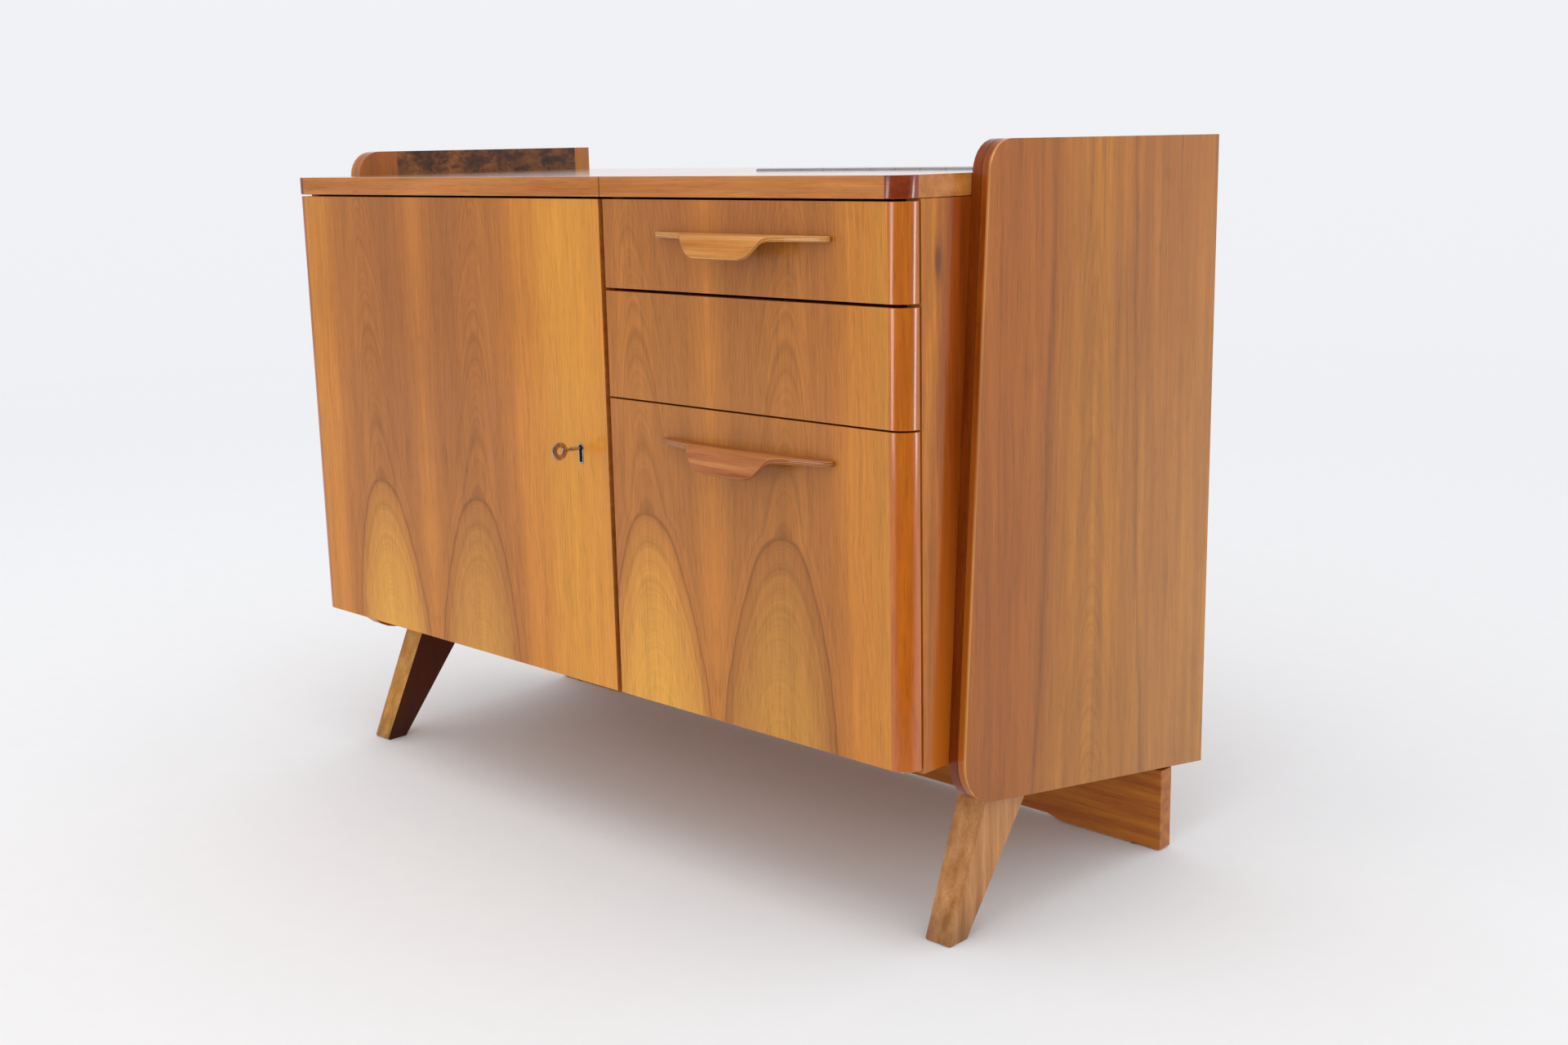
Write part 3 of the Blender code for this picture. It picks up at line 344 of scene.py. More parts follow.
def grain_group():
    """Long streaks, fibres and open pores that run along the vector's third part."""
    nodes, given, result = shared_group(
        "wood_grain", (("Vector", "Vector", (0, 0, 0)), ("Seed", "Float", 0.0)),
        ("Streak", "Fibre", "Pore", "Height"))
    seed = given["Seed"] * 0.37
    moved = nodes.vector_maths("ADD", given["Vector"], nodes.vector(seed, seed, seed))
    drift = moved.noise((9, 9, 5), detail=1.0)
    sideways = nodes.vector(drift.between(0, 1, -0.004, 0.004),
                            drift.between(0, 1, 0.004, -0.004))
    bent = nodes.vector_maths("ADD", moved, sideways)
    streak = bent.noise((75, 75, 3.5), detail=3.0)
    fibre = bent.noise((520, 520, 12), detail=3.0, Roughness=0.65)
    pore = bent.noise((760, 760, 34), detail=1.0).between(0.58, 0.68)
    for name, value in (("Streak", streak), ("Fibre", fibre), ("Pore", pore),
                        ("Height", fibre * 0.35 - pore)):
        nodes.feed(result[name], value)


def ring_group():
    """Which growth ring of a flat-cut board shows at an offset from its axis."""
    nodes, given, result = shared_group(
        "growth_rings",
        (("Offset", "Float", 0.0), ("Rise", "Float", 0.0), ("Position", "Vector", (0, 0, 0)),
         ("Wander", "Float", 1.0)),
        ("Ring",))
    place = given["Position"]
    wide = place.noise((11, 11, 5.5), detail=1.0).between(0, 1, -0.011, 0.011)
    near = place.noise((55, 55, 24), detail=2.0).between(0, 1, -0.0030, 0.0030)
    fine = place.noise((330, 330, 60), detail=1.0).between(0, 1, -0.0005, 0.0005)
    turn = (given["Offset"] + (wide + near + fine) * given["Wander"]) / RING_DEPTH
    nodes.feed(result["Ring"], turn * turn - given["Rise"])


def fresh_nodes(owner):
    """Nodes of a material or a world, none yet."""
    owner.use_nodes = True
    owner.node_tree.nodes.clear()
    return Nodes(owner.node_tree)


def new_material(name):
    """A material with one Principled shader, its nodes and that shader."""
    material = bpy.data.materials.new(name)
    nodes = fresh_nodes(material)
    output = nodes.add("ShaderNodeOutputMaterial")
    shader = nodes.add("ShaderNodeBsdfPrincipled")
    material.node_tree.links.new(shader.outputs[0], output.inputs["Surface"])
    return material, nodes, shader


def bump(nodes, shader, height, strength, distance):
    """Relief of a surface from a height of 0 to 1."""
    nodes.feed(shader.inputs["Normal"], nodes.made(
        "ShaderNodeBump", {"Strength": strength, "Distance": distance, "Height": height}))


def lacquer(nodes, shader, colour, grain, finish, rough=(0.04, -0.04), by="Streak", coat=1.0,
            relief=1.0):
    """Satin lacquer over coloured wood, rougher or smoother by one part of its grain."""
    nodes.feed(shader.inputs["Base Color"], colour)
    nodes.feed(shader.inputs["Roughness"], grain[by].between(
        *SPREAD, finish.satin + rough[0], finish.satin + rough[1]))
    shader.inputs["Coat Weight"].default_value = min(finish.coat * coat, 1.0)
    shader.inputs["Coat Roughness"].default_value = finish.coat_roughness
    shader.inputs["Specular IOR Level"].default_value = finish.shine
    bump(nodes, shader, grain["Height"], 0.6, finish.relief * relief)


def figured(colour, ring, grain, lines=0.11, streaks=0.065, open_pores=0.17):
    """Adds to a veneer's colour its growth lines, streaks, fibres and pores."""
    colour = colour.shade(ring.line_noise(0.10, detail=2.0), *SPREAD, 0.95, 1.05)
    colour = colour.shade(ring.line_noise(0.55, detail=3.0), 0.32, 0.60, 1 - lines, 1 + lines / 2)
    colour = colour.shade(grain["Streak"], *SPREAD, 1 - streaks, 1 + streaks)
    colour = colour.shade(grain["Fibre"], 0.36, 0.64, 0.91, 1.07)
    return colour.shade(grain["Pore"], 0, 1, 1.0, 1 - open_pores)


def growth_lines(colour, ring, lines):
    """Adds single dark lines to a veneer's colour."""
    for place, width, depth in lines:
        colour = colour.shade(abs(ring - place), 0.0, width, 1 - depth, 1.0)
    return colour


def plain_wood(grain, light, dark, seen=wood_tone):
    """Colour of straight-grained wood between two tones."""
    colour = grain["Streak"].between(0.32, 0.68).blend(seen(*dark), seen(*light))
    colour = colour.shade(grain["Fibre"], 0.34, 0.66, 0.88, 1.10)
    return colour.shade(grain["Pore"], 0, 1, 1.0, 0.82)


def oval(first, second, spot, reach):
    """Square of the distance from a spot: 1 at an oval's rim, with its two half widths."""
    across, along = (first - spot[0]) / reach[0], (second - spot[1]) / reach[1]
    return across * across + along * along


def flame_veneer(name, match, peak, left_half_painted_light, right_half_painted_light, paler, finish, colours, rub=None):
    """Book-matched flame veneer on fronts, with solid edges and a solid outer corner, and painted
    light on the arches' two halves.
    """
    material, nodes, shader = new_material(name)
    _, x, y, z = nodes.place()
    beside = abs(x - match)
    mirrored = nodes.vector(beside, y, z)
    over = z - peak
    below, above = (over * -1000.0).largest(0.0), (over * 1000.0).largest(0.0)
    ring = nodes.rings(beside - (over * AXIS_LEAN + AXIS), below ** 0.82 - above * 0.12, mirrored)
    grain = nodes.grain(match * 10, mirrored)
    drift = mirrored.noise((14, 14, 5))
    spread_out = (beside + drift.between(0.2, 0.8, -0.009, 0.009)).largest(0.0)
    brown = spread_out.ramp(ACROSS).shade(z, 0.24, 0.50, 1.08, 1.0).shade(z, 0.60, 0.82, 1.0, 0.96)
    middle = spread_out.between(0.11, 0.17, 1.0, 0.0) * z.between(*paler, 1.0, 0.0)
    brown = brown.tint((1.08, 1.14, 1.0, 1.0), middle)
    # Painted light: the arches' left half is made lighter and more golden inside, and the right
    # half is shaded, as the studio light falls on the two halves.
    left = (match - x).above(0.0, 0.002)
    arch = ring.ramp(ARCH).shade(left, 0, 1, right_half_painted_light, 1.0)
    arch = arch.tint((left_half_painted_light, left_half_painted_light * 1.07, left_half_painted_light * 0.95, 1.0),
                     left * ring.between(-26.0, 0.0, 1.0, 0.25))
    colour = brown.toward(arch, ring.between(-5.0, 5.0, 1.0, 0.0))
    colour = growth_lines(colour, ring, FLAME_LINES)
    calm = figured(colour, ring, grain, lines=0.02)
    colour = figured(colour, ring, grain).toward(calm, ring.between(-50.0, -6.0, 0.7, 0.0))
    colour = colour.shade(mirrored.noise((7, 7, 4)), *SPREAD, 0.96, 1.04)
    if rub:
        away = oval(x, z, rub, KEY_RUB_REACH) + drift.between(*SPREAD, -0.3, 0.3)
        colour = colour.toward(edge_tone(204, 118, 14), away.between(0.1, 1.6, 0.5, 0.0))
    colour = colour.shade(x, 0.38, 0.55, 1.0, 0.92)
    edge = plain_wood(nodes.grain(3.0, nodes.vector(z, y, x)), (184, 108, 48), (156, 86, 36),
                      edge_tone)
    corner = plain_wood(nodes.grain(5.0, nodes.vector(x, y, z)), screen(colours.corner_light),
                        screen(colours.corner_dark), edge_tone)
    is_corner = abs(x).above(CORNER)
    colour = colour.toward(edge, 1.0 - abs(nodes.normal()[1]).above(0.5, 0.05))
    colour = colour.toward(corner.shade(z, 0.25, 0.80, 1.14, 0.95), is_corner)
    lacquer(nodes, shader, colour, grain, finish)
    nodes.feed(shader.inputs["Coat Weight"], is_corner.between(0, 1, finish.coat * 0.5, 1.0))
    shader.inputs["Coat IOR"].default_value = 1.8
    return material


def side_veneer(name, finish):
    """Flat-cut veneer on the side panels, with solid edges and a mottled band on top inside."""
    material, nodes, shader = new_material(name)
    place, x, y, z = nodes.place()
    aside = abs(x)
    down = (0.9 - z) / 0.7
    ring = nodes.rings(y - SIDE_AXIS, down * down * 60.0 + 68.0, place, wander=0.8)
    grain = nodes.grain(11.0, place)
    rear = y.between(FACE + 0.15, FACE + 0.55, 0.0, 0.55)
    lower = z.between(0.3, 0.9, 0.45, 0.0) * y.between(FACE + 0.17, FACE + 0.30)
    colour = (rear + lower).blend(side_tone(171, 110, 64), side_tone(184, 131, 81))
    colour = colour.toward(side_tone(178, 124, 68), ring.between(-70.0, -8.0, 0.6, 0.0))
    colour = growth_lines(colour, ring, SIDE_LINES)
    colour = figured(colour, ring, grain, lines=0.10, streaks=0.10, open_pores=0.18)
    colour = colour.shade(place.noise((6, 6, 3)), *SPREAD, 0.94, 1.05)
    belts = place.noise((40, 46, 1.6), detail=3.0).between(0.40, 0.62)
    colour = colour.tint(belts.blend((0.93, 0.88, 0.92, 1.0), (1.06, 1.03, 0.90, 1.0)))
    marks = place.noise((120, 62, 95), detail=5.0, Distortion=1.0)
    burl = (place.noise((30, 24, 40)) * 0.5 + marks * 0.5).ramp(BURL, edge_tone)
    inside = z.above(TOP_FACE) * nodes.maths("LESS_THAN", aside, PANEL_IN + 0.001)
    colour = colour.toward(burl.shade(y, FACE + 0.33, FACE + 0.40, 1.12, 0.76),
                           inside * y.above(BURL_START, 0.001))
    along_edge = nodes.grain(2.0, nodes.vector(x, y, z))
    # The front edges show their end grain with painted shade in it: the inner layer's edge, beside
    # the recess by the wall, is darker, and the outer layer's edge grows lighter toward the bottom.
    inner = plain_wood(along_edge, (128, 54, 8), (104, 36, 3), edge_tone)
    outer = plain_wood(along_edge, (150, 72, 12), (122, 50, 5), edge_tone)
    outer = outer.toward(edge_tone(172, 94, 24), z.between(0.2, 0.7, 0.8, 0.0))
    edge = inner.toward(outer, aside.above(PANEL_SEAM, 0.0004))
    edge = edge.shade(abs(aside - PANEL_SEAM), 0.0004, 0.0013, 0.35, 1.0)
    # Pale line along the outer arris: partly wear, partly a painted highlight.
    worn = aside.between(PANEL_OUT - 0.0045, PANEL_OUT - 0.0015)
    worn = worn * grain["Streak"].between(0.35, 0.6, 0.5, 1.0)
    edge = edge.toward(edge_tone(212, 148, 84), worn)
    # Painted light: the left panel's front edges are made lighter, as light from the right falls on
    # them.
    edge = edge.toward(edge_tone(198, 132, 72), x.between(*HALVES, 0.45, 0.0))
    colour = colour.toward(edge, 1.0 - abs(nodes.normal()[0]).above(0.6, 0.2))
    lacquer(nodes, shader, colour, grain, finish)
    return material


def top_veneer(name, finish, colours):
    """Veneer whose grain runs across the top, with banded edges and solid corners."""
    material, nodes, shader = new_material(name)
    _, x, y, z = nodes.place()
    laid = nodes.vector(y, z, x)
    ring = nodes.rings(y - TOP_AXIS, x * 42.0 + 34.0, laid)
    grain = nodes.grain(7.0, laid)
    band_grain = nodes.grain(8.0, nodes.vector(z, y, x))
    band = plain_wood(band_grain, screen(colours.band_light), screen(colours.band_dark))
    is_edge = 1.0 - abs(nodes.normal()[2]).above(0.75, 0.1)
    is_corner = abs(x).above(CORNER - 0.002) * nodes.maths("LESS_THAN", y, FACE + CORNER_DEPTH)
    is_corner = is_corner * is_edge
    colour = figured(ring.ramp(TOP), ring, grain).toward(band, is_edge)
    colour = colour.toward(plain_wood(band_grain, (134, 50, 8), (110, 36, 3), edge_tone),
                           is_corner)
    lacquer(nodes, shader, colour, grain, finish, (0.0, -0.06), relief=0.3)
    nodes.feed(shader.inputs["Coat Weight"],
               is_corner.largest(is_edge.between(0, 1, 1.0, finish.coat * 0.6)))
    shader.inputs["Coat Roughness"].default_value = finish.coat_roughness * 0.85
    shader.inputs["Coat IOR"].default_value = 1.75
    return material


def wall_veneer(name, finish):
    """Upright plain walnut with one long dark knot near the upper front, and painted shade toward
    the side panel.
    """
    material, nodes, shader = new_material(name)
    place, _, y, z = nodes.place()
    grain = nodes.grain(17.0, place)
    colour = plain_wood(grain, (190, 114, 24), (160, 90, 10), edge_tone)
    low = plain_wood(grain, (184, 108, 26), (158, 86, 10), edge_tone)
    colour = colour.toward(low, z.between(0.24, 0.62, 1.0, 0.0))
    colour = colour.shade(place.noise((30, 30, 9), detail=3.0), 0.35, 0.65, 0.90, 1.08)
    # Painted shade: the wall darkens toward the side panel, in the recess between them, less so low
    # down.
    dark = plain_wood(grain, (146, 66, 8), (118, 46, 4), edge_tone)
    dark = z.between(0.25, 0.60).blend(edge_tone(172, 88, 18), dark)
    toward_panel = z * -0.045 + y
    colour = colour.toward(dark, toward_panel.between(FACE + 0.016, FACE + 0.042))
    knot = oval(y, z, KNOT, KNOT_REACH)
    ragged = knot + grain["Fibre"].between(*SPREAD, -0.35, 0.35)
    for shown, share in ((edge_tone(112, 60, 20), knot.between(0.8, 5.0, 0.35, 0.0)),
                         (edge_tone(88, 44, 14), ragged.between(0.25, 1.5, 0.62, 0.0)),
                         (edge_tone(196, 130, 70),
                          y.between(FACE + 0.0006, FACE + 0.0022, 0.7, 0.0))):
        colour = colour.toward(shown, share)
    lacquer(nodes, shader, colour, grain, finish)
    return material


def plain_material(name, light, dark, order, finish, coat, flecks=0.0, satin=0.0, inner=None):
    """Straight-grained wood; order says which of x, y and z the grain runs along, last; inner is a
    dark colour for painted shade on inner sides.
    """
    material, nodes, shader = new_material(name)
    _, x, y, z = nodes.place()
    places = {"x": x, "y": y, "z": z}
    laid = nodes.vector(*(places[letter] for letter in order))
    grain = nodes.grain(23.0, laid)
    colour = plain_wood(grain, light, dark)
    if inner:
        # Painted shade: the legs' inner sides, which face the dark space under the cabinet, take a
        # dark colour and less lacquer.
        shaded = (nodes.normal()[0] * x.between(*HALVES, 1.0, -1.0)).between(0.3, 0.8)
        colour = colour.toward(plain_wood(grain, inner, inner, edge_tone), shaded)
        # The left leg's front face is tinted more golden, and the legs darken toward the floor.
        colour = colour.tint((1.12, 1.16, 0.56, 1.0),
                             x.between(*HALVES, 1.0, 0.0) * (1.0 - shaded))
        foot = z + grain["Streak"].between(*SPREAD, -0.012, 0.012)
        colour = colour.shade(foot, 0.004, 0.05, 0.62, 1.0)
    if flecks:
        colour = colour.shade(laid.noise((520, 520, 95), detail=1.0), 0.62, 0.70, 1.0, 1.0 - flecks)
    lacquer(nodes, shader, colour, grain, finish, (satin + 0.05, satin - 0.03), "Fibre", coat)
    if inner:
        nodes.feed(shader.inputs["Coat Weight"],
                   shaded.between(0, 1, finish.coat * coat, finish.coat * coat * 0.3))
    return material


def bent_ply(name, face_light, face_dark, edge_light, edge_dark, finish):
    """Moulded plywood: one face layer, and thin light and dark layers at the cut edges."""
    material, nodes, shader = new_material(name)
    _, x, y, z = nodes.place()
    grain = nodes.grain(31.0, nodes.vector(y, z, x))
    wave = nodes.maths("SINE", nodes.attribute("layer") * (2 * math.pi * PLIES))
    lines = wave.between(-0.2, 0.5).blend(edge_tone(*edge_dark), edge_tone(*edge_light))
    lines = lines.shade(grain["Fibre"], *SPREAD, 0.9, 1.06)
    colour = plain_wood(grain, face_light, face_dark)
    colour = colour.toward(lines, nodes.attribute("side").between(0.35, 0.8))
    lacquer(nodes, shader, colour, grain, finish, (0.0, -0.06))
    return material


def metal(name, colour, worn, roughness, scratch=(160, 160, 160), strength=0.25):
    """Plated steel with faint handling marks and darker spots."""
    material, nodes, shader = new_material(name)
    place = nodes.place()[0]
    marks = place.noise(scratch, detail=3.0)
    spots = place.noise((900, 900, 900)).between(0.66, 0.76, 0.0, strength)
    share = marks.between(0.40, 0.66, 0.0, strength).largest(spots)
    nodes.feed(shader.inputs["Base Color"], share.blend(tone(*colour), tone(*worn)))
    shader.inputs["Metallic"].default_value = 1.0
    nodes.feed(shader.inputs["Roughness"],
               marks.between(*SPREAD, roughness - 0.06, roughness + 0.10))
    bump(nodes, shader, marks, 0.15, 0.00005)
    return material


def rubber(name):
    """Dull black rubber with a dusty bloom."""
    material, nodes, shader = new_material(name)
    dust = nodes.place()[0].noise((240, 240, 240), detail=3.0)
    nodes.feed(shader.inputs["Base Color"],
               dust.between(0.4, 0.7).blend(tone(26, 25, 24), tone(58, 55, 52)))
    nodes.feed(shader.inputs["Roughness"], dust.between(*SPREAD, 0.6, 0.85))
    return material


def dress(material, *names):
    """Put a material on every slot of CAD nodes."""
    for name in names:
        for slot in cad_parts[name].material_slots:
            slot.material = material


def soften(mesh, angle=32):
    """Round the shading of faceted curves and keep flats flat, by area-weighted normals."""
    limit = math.cos(math.radians(angle))
    keys = [tuple(round(part, 6) for part in vertex.co) for vertex in mesh.vertices]
    around = {}
    for face in mesh.polygons:
        for index in face.vertices:
            around.setdefault(keys[index], []).append((face.normal.copy(), face.area))
    normals = []
    for face in mesh.polygons:
        for index in face.vertices:
            total = Vector()
            for normal, area in around[keys[index]]:
                if normal.dot(face.normal) > limit:
                    total += normal * area
            normals.append(total.normalized() if total.length else face.normal.copy())
    mesh.shade_smooth()
    mesh.normals_split_custom_set(normals)


def linked(name, data):
    """New object in the scene."""
    item = bpy.data.objects.new(name, data)
    bpy.context.scene.collection.objects.link(item)
    return item


def mesh_object(name, shape, material):
    """Mesh object from a bmesh, which is freed."""
    bmesh.ops.recalc_face_normals(shape, faces=shape.faces)
    mesh = bpy.data.meshes.new(name)
    shape.to_mesh(mesh)
    shape.free()
    mesh.materials.append(material)
    return linked(name, mesh)


def object_from(name, shape, material, body):
    """Smoothly shaded mesh object from a bmesh, riding on a body."""
    piece = mesh_object(name, shape, material)
    piece.data.shade_smooth()
    piece.data.set_sharp_from_angle(angle=math.radians(38))
    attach(piece, body)
    return piece


def circle(steps):
    """Cosine and sine of evenly spaced turns of a full circle."""
    turns = [2 * math.pi * step / steps for step in range(steps)]
    return [(math.cos(turn), math.sin(turn)) for turn in turns]


def bridge(shape, near, far):
    """Faces between two rings of vertices."""
    for index in range(len(near)):
        following = (index + 1) % len(near)
        shape.faces.new((near[index], near[following], far[following], far[index]))


def loft(shape, loops, closed=False):
    """Faces between rings of vertices, with flat ends unless the rings close on themselves."""
    for near, far in zip(loops, loops[1:]):
        bridge(shape, near, far)
    if closed:
        bridge(shape, loops[-1], loops[0])
    else:
        shape.faces.new(loops[0])
        shape.faces.new(loops[-1])


def turned(shape, profile, start, axis):
    """Faces of a turned body from pairs of distance along its axis and radius."""
    side = axis.orthogonal().normalized()
    other = axis.cross(side)
    loft(shape, [[shape.verts.new(start + axis * along + radius * (side * a + other * b))
                  for a, b in circle(32)] for along, radius in profile])


def length(name, description, default):
    """Length setting."""
    return bpy.props.FloatProperty(name=name, description=description, default=default, min=0.0,
                                   precision=5, unit="LENGTH")


def fraction(name, description, default):
    """Setting from 0 to 1."""
    return bpy.props.FloatProperty(name=name, description=description, default=default, min=0.0,
                                   max=1.0, subtype="FACTOR")


def stain(name, description, *values):
    """Colour setting whose default is a screen tone of 0 to 255."""
    return bpy.props.FloatVectorProperty(
        name=name, description=description, size=3, subtype="COLOR_GAMMA", min=0.0, max=1.0,
        default=[value / 255 for value in values])


class FinishSettings(bpy.types.PropertyGroup):
    """Gloss and relief of the lacquered wood."""

    satin: fraction("Satin", "Roughness of the wood under its lacquer", 0.36)
    shine: fraction("Shine", "Specular level of the wood under its lacquer", 0.08)
    coat: fraction("Lacquer", "Weight of the clear coat", 0.75)
    coat_roughness: fraction("Lacquer roughness", "Roughness of the clear coat", 0.13)
    relief: length("Grain relief", "Depth of the open grain", 0.00006)


class ColourSettings(bpy.types.PropertyGroup):
    """Colours of the plain woods and the metals, as they show on screen."""

    corner_light: stain("Corner, light", "Light grain of the fronts' solid corners", 184, 98, 4)
    corner_dark: stain("Corner, dark", "Dark grain of the fronts' solid corners", 162, 78, 1)
    band_light: stain("Top band, light", "Light grain of the top's edges", 192, 130, 80)
    band_dark: stain("Top band, dark", "Dark grain of the top's edges", 170, 108, 64)
    leg_light: stain("Leg, light", "Light grain of the front legs", 200, 146, 98)
    leg_dark: stain("Leg, dark", "Dark grain of the front legs", 172, 118, 74)
    # Painted shade on the legs' inner sides, which face under the cabinet.
    leg_inner_shade: stain("Leg, inner", "Inner sides of the front legs", 80, 32, 7)
    rear_leg_light: stain("Rear leg, light", "Light grain of the rear leg board", 188, 120, 56)
    rear_leg_dark: stain("Rear leg, dark", "Dark grain of the rear leg board", 156, 92, 38)
    board_light: stain("Board, light", "Light grain of the boards inside", 214, 148, 82)
    board_dark: stain("Board, dark", "Dark grain of the boards inside", 188, 122, 62)
    divider_light: stain("Divider, light", "Light grain of the divider", 136, 84, 48)
    divider_dark: stain("Divider, dark", "Dark grain of the divider", 104, 60, 32)
    back_light: stain("Back, light", "Light grain of the back panel", 158, 108, 66)
    back_dark: stain("Back, dark", "Dark grain of the back panel", 134, 86, 50)
    beech_light: stain("Beech, light", "Light grain of the drawer boxes", 214, 170, 118)
    beech_dark: stain("Beech, dark", "Dark grain of the drawer boxes", 192, 144, 94)
    drawer_handle_light: stain("Drawer handle, light", "Light grain of its face", 208, 150, 90)
    drawer_handle_dark: stain("Drawer handle, dark", "Dark grain of its face", 174, 112, 58)
    flap_handle_light: stain("Flap handle, light", "Light grain of its face", 192, 130, 86)
    flap_handle_dark: stain("Flap handle, dark", "Dark grain of its face", 148, 86, 50)
    hinge: stain("Hinges", "Steel of the continuous hinges", 208, 210, 214)
    fixture: stain("Fixtures", "Steel of the lock and the stay", 168, 164, 158)
    catch: stain("Catch", "Dark steel of the catch", 84, 80, 78)
    screw: stain("Screws", "Steel of the screw heads", 158, 154, 148)
    key: stain("Key", "Plated steel of the key", 214, 206, 206)


class HandleSettings(bpy.types.PropertyGroup):
    """Shape of the two bent plywood handles."""

    thickness: length("Thickness", "Thickness of the strip", 0.006)
    half_width: length("Half width", "Half of the widest part", 0.136)
    flat: length("Flat", "From the front to the bend", 0.0274)
    bend_radius: length("Bend radius", "Radius of the strip's middle in the bend", 0.0090)
    bend: bpy.props.FloatProperty(
        name="Bend", description="Angle of the bend", default=math.radians(70), subtype="ANGLE")
    lip: length("Lip", "Straight length after the bend", 0.0186)
    rounding: length("Rounding", "Radius of the rubbed edges", 0.0019)
    corner: length("Corner", "Radius of the lip's lower corners", 0.0085)
    gap: length("Gap", "Joint between the strip and its front", 0.0003)
    drop_drawer: length("Drop on drawer", "Handle's top under its front's top edge", 0.0363)
    drop_flap: length("Drop on flap", "Handle's top under its front's top edge", 0.0387)
    rows: bpy.props.IntProperty(
        name="Rows", description="Sections along the strip", default=64, min=8)


class KeySettings(bpy.types.PropertyGroup):
    """Shape of the ring-headed key."""

    bow_width: length("Bow width", "Ring across, front to back", 0.0236)
    bow_height: length("Bow height", "Ring's height", 0.0226)
    eye: length("Eye", "Diameter of the hole", 0.0092)
    bow_thickness: length("Bow thickness", "Thickness of the ring", 0.0034)
    shank: length("Shank", "Radius of the shank", 0.0019)
    root: length("Root", "Length of the shank inside the ring", 0.0022)
    collar: length("Collar", "Radius of the collar", 0.0031)
    collar_length: length("Collar length", "Length of the collar", 0.0030)
    collar_behind: length("Collar behind", "From the bow to the collar", 0.0050)
    bit_width: length("Bit width", "Width of the bit, along the shank", 0.0050)
    bit_thickness: length("Bit thickness", "Thickness of the bit", 0.0022)
    tip: length("Tip", "Shank past the bit", 0.0036)


class ScrewSettings(bpy.types.PropertyGroup):
    """Shape of the countersunk screw heads."""

    radius: length("Radius", "Radius of a head", 0.0027)
    proud: length("Proud", "Head above the surface", 0.00014)
    slot: length("Slot", "Width of the driver slot", 0.0008)
    inset: length("Inset", "Screws from a hinge leaf's inner edge", 0.0055)


class StageSettings(bpy.types.PropertyGroup):
    """Camera, floor and lamps."""

    lens: bpy.props.FloatProperty(
        name="Lens", description="Focal length for a sensor 36 mm wide", default=41.082)
    floor_radius: length("Floor radius", "Radius of the round floor", 7.0)
    overhead: bpy.props.FloatProperty(
        name="Overhead", description="Power of the large lamp above", default=20.0)
    left_box: bpy.props.FloatProperty(
        name="Left box", description="Power of the low lamp at the front left", default=6.8)
    right_box: bpy.props.FloatProperty(
        name="Right box", description="Power of the low lamp at the right", default=6.4)


class CABINET_OT_veneers(bpy.types.Operator):
    """Veneer the fronts, the side panels, the top and the walls beside the fronts"""

    bl_idname = "cabinet.veneers"
    bl_label = "Veneers"

    def execute(self, context):
        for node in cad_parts.values():
            soften(node.data)
        finish = context.scene.cabinet_finish
        colours = context.scene.cabinet_colours
        # The two numbers after each peak are painted light on the arches' left half and shade on
        # their right half.
        dress(flame_veneer("flame_veneer_door", DOOR_MATCH, DOOR_PEAK, 1.15, 0.95,
                           (0.35, 0.60), finish, colours, rub=KEY_RUB), "door")
        dress(flame_veneer("flame_veneer_column", COLUMN_MATCH, COLUMN_PEAK, 1.16, 0.86,
                           (0.66, 0.86), finish, colours),
              "drawer_upper_front", "drawer_lower_front", "flap")
        dress(side_veneer("side_veneer", finish), "side_panel_left_inner",
              "side_panel_left_outer", "side_panel_right_inner", "side_panel_right_outer")
        dress(top_veneer("top_veneer", finish, colours), "top_board", "lid")
        dress(wall_veneer("wall_veneer", finish), "body_side_left", "body_side_right")
        return {"FINISHED"}


class CABINET_OT_plain_wood(bpy.types.Operator):
    """Finish the legs, the inside boards and the drawer boxes"""

    bl_idname = "cabinet.plain_wood"
    bl_label = "Plain wood"

    def execute(self, context):
        finish = context.scene.cabinet_finish
        colours = context.scene.cabinet_colours
        sides = [f"drawer_{drawer}_{piece}_{side}" for piece in ("side", "runner")
                 for drawer in ("upper", "lower") for side in ("left", "right")]
        # The inner colour is painted shade on the legs' inner sides.
        for name, wood, order, coat, flecks, satin, inner, pieces in (
                ("stained_legs", "leg", "xyz", 0.9, 0.12, 0.0, "leg_inner_shade",
                 ("leg_front_left", "leg_front_right")),
                ("stained_rear_leg", "rear_leg", "zyx", 0.9, 0.12, 0.0, None,
                 ("rear_leg_board",)),
                ("stained_board_level", "board", "yzx", 0.5, 0.0, 0.0, None,
                 ("bottom_board", "deck_board", "shelf", "lid_rail")),
                ("stained_board_upright", "divider", "xyz", 0.5, 0.0, 0.0, None,
                 ("centre_divider",)),
                ("back_board", "back", "xyz", 0.15, 0.0, 0.15, None, ("back_panel",)),
                ("beech_deep", "beech", "zxy", 0.3, 0.10, 0.1, None,
                 (*sides, "shelf_cleat_left", "shelf_cleat_right")),
                ("beech_across", "beech", "zyx", 0.3, 0.10, 0.1, None,
                 ("drawer_upper_back", "drawer_lower_back", "drawer_upper_bottom",
                  "drawer_lower_bottom"))):
            light = screen(getattr(colours, f"{wood}_light"))
            dark = screen(getattr(colours, f"{wood}_dark"))
            shaded = screen(getattr(colours, inner)) if inner else None
            dress(plain_material(name, light, dark, order, finish, coat, flecks, satin, shaded),
                  *pieces)
        return {"FINISHED"}


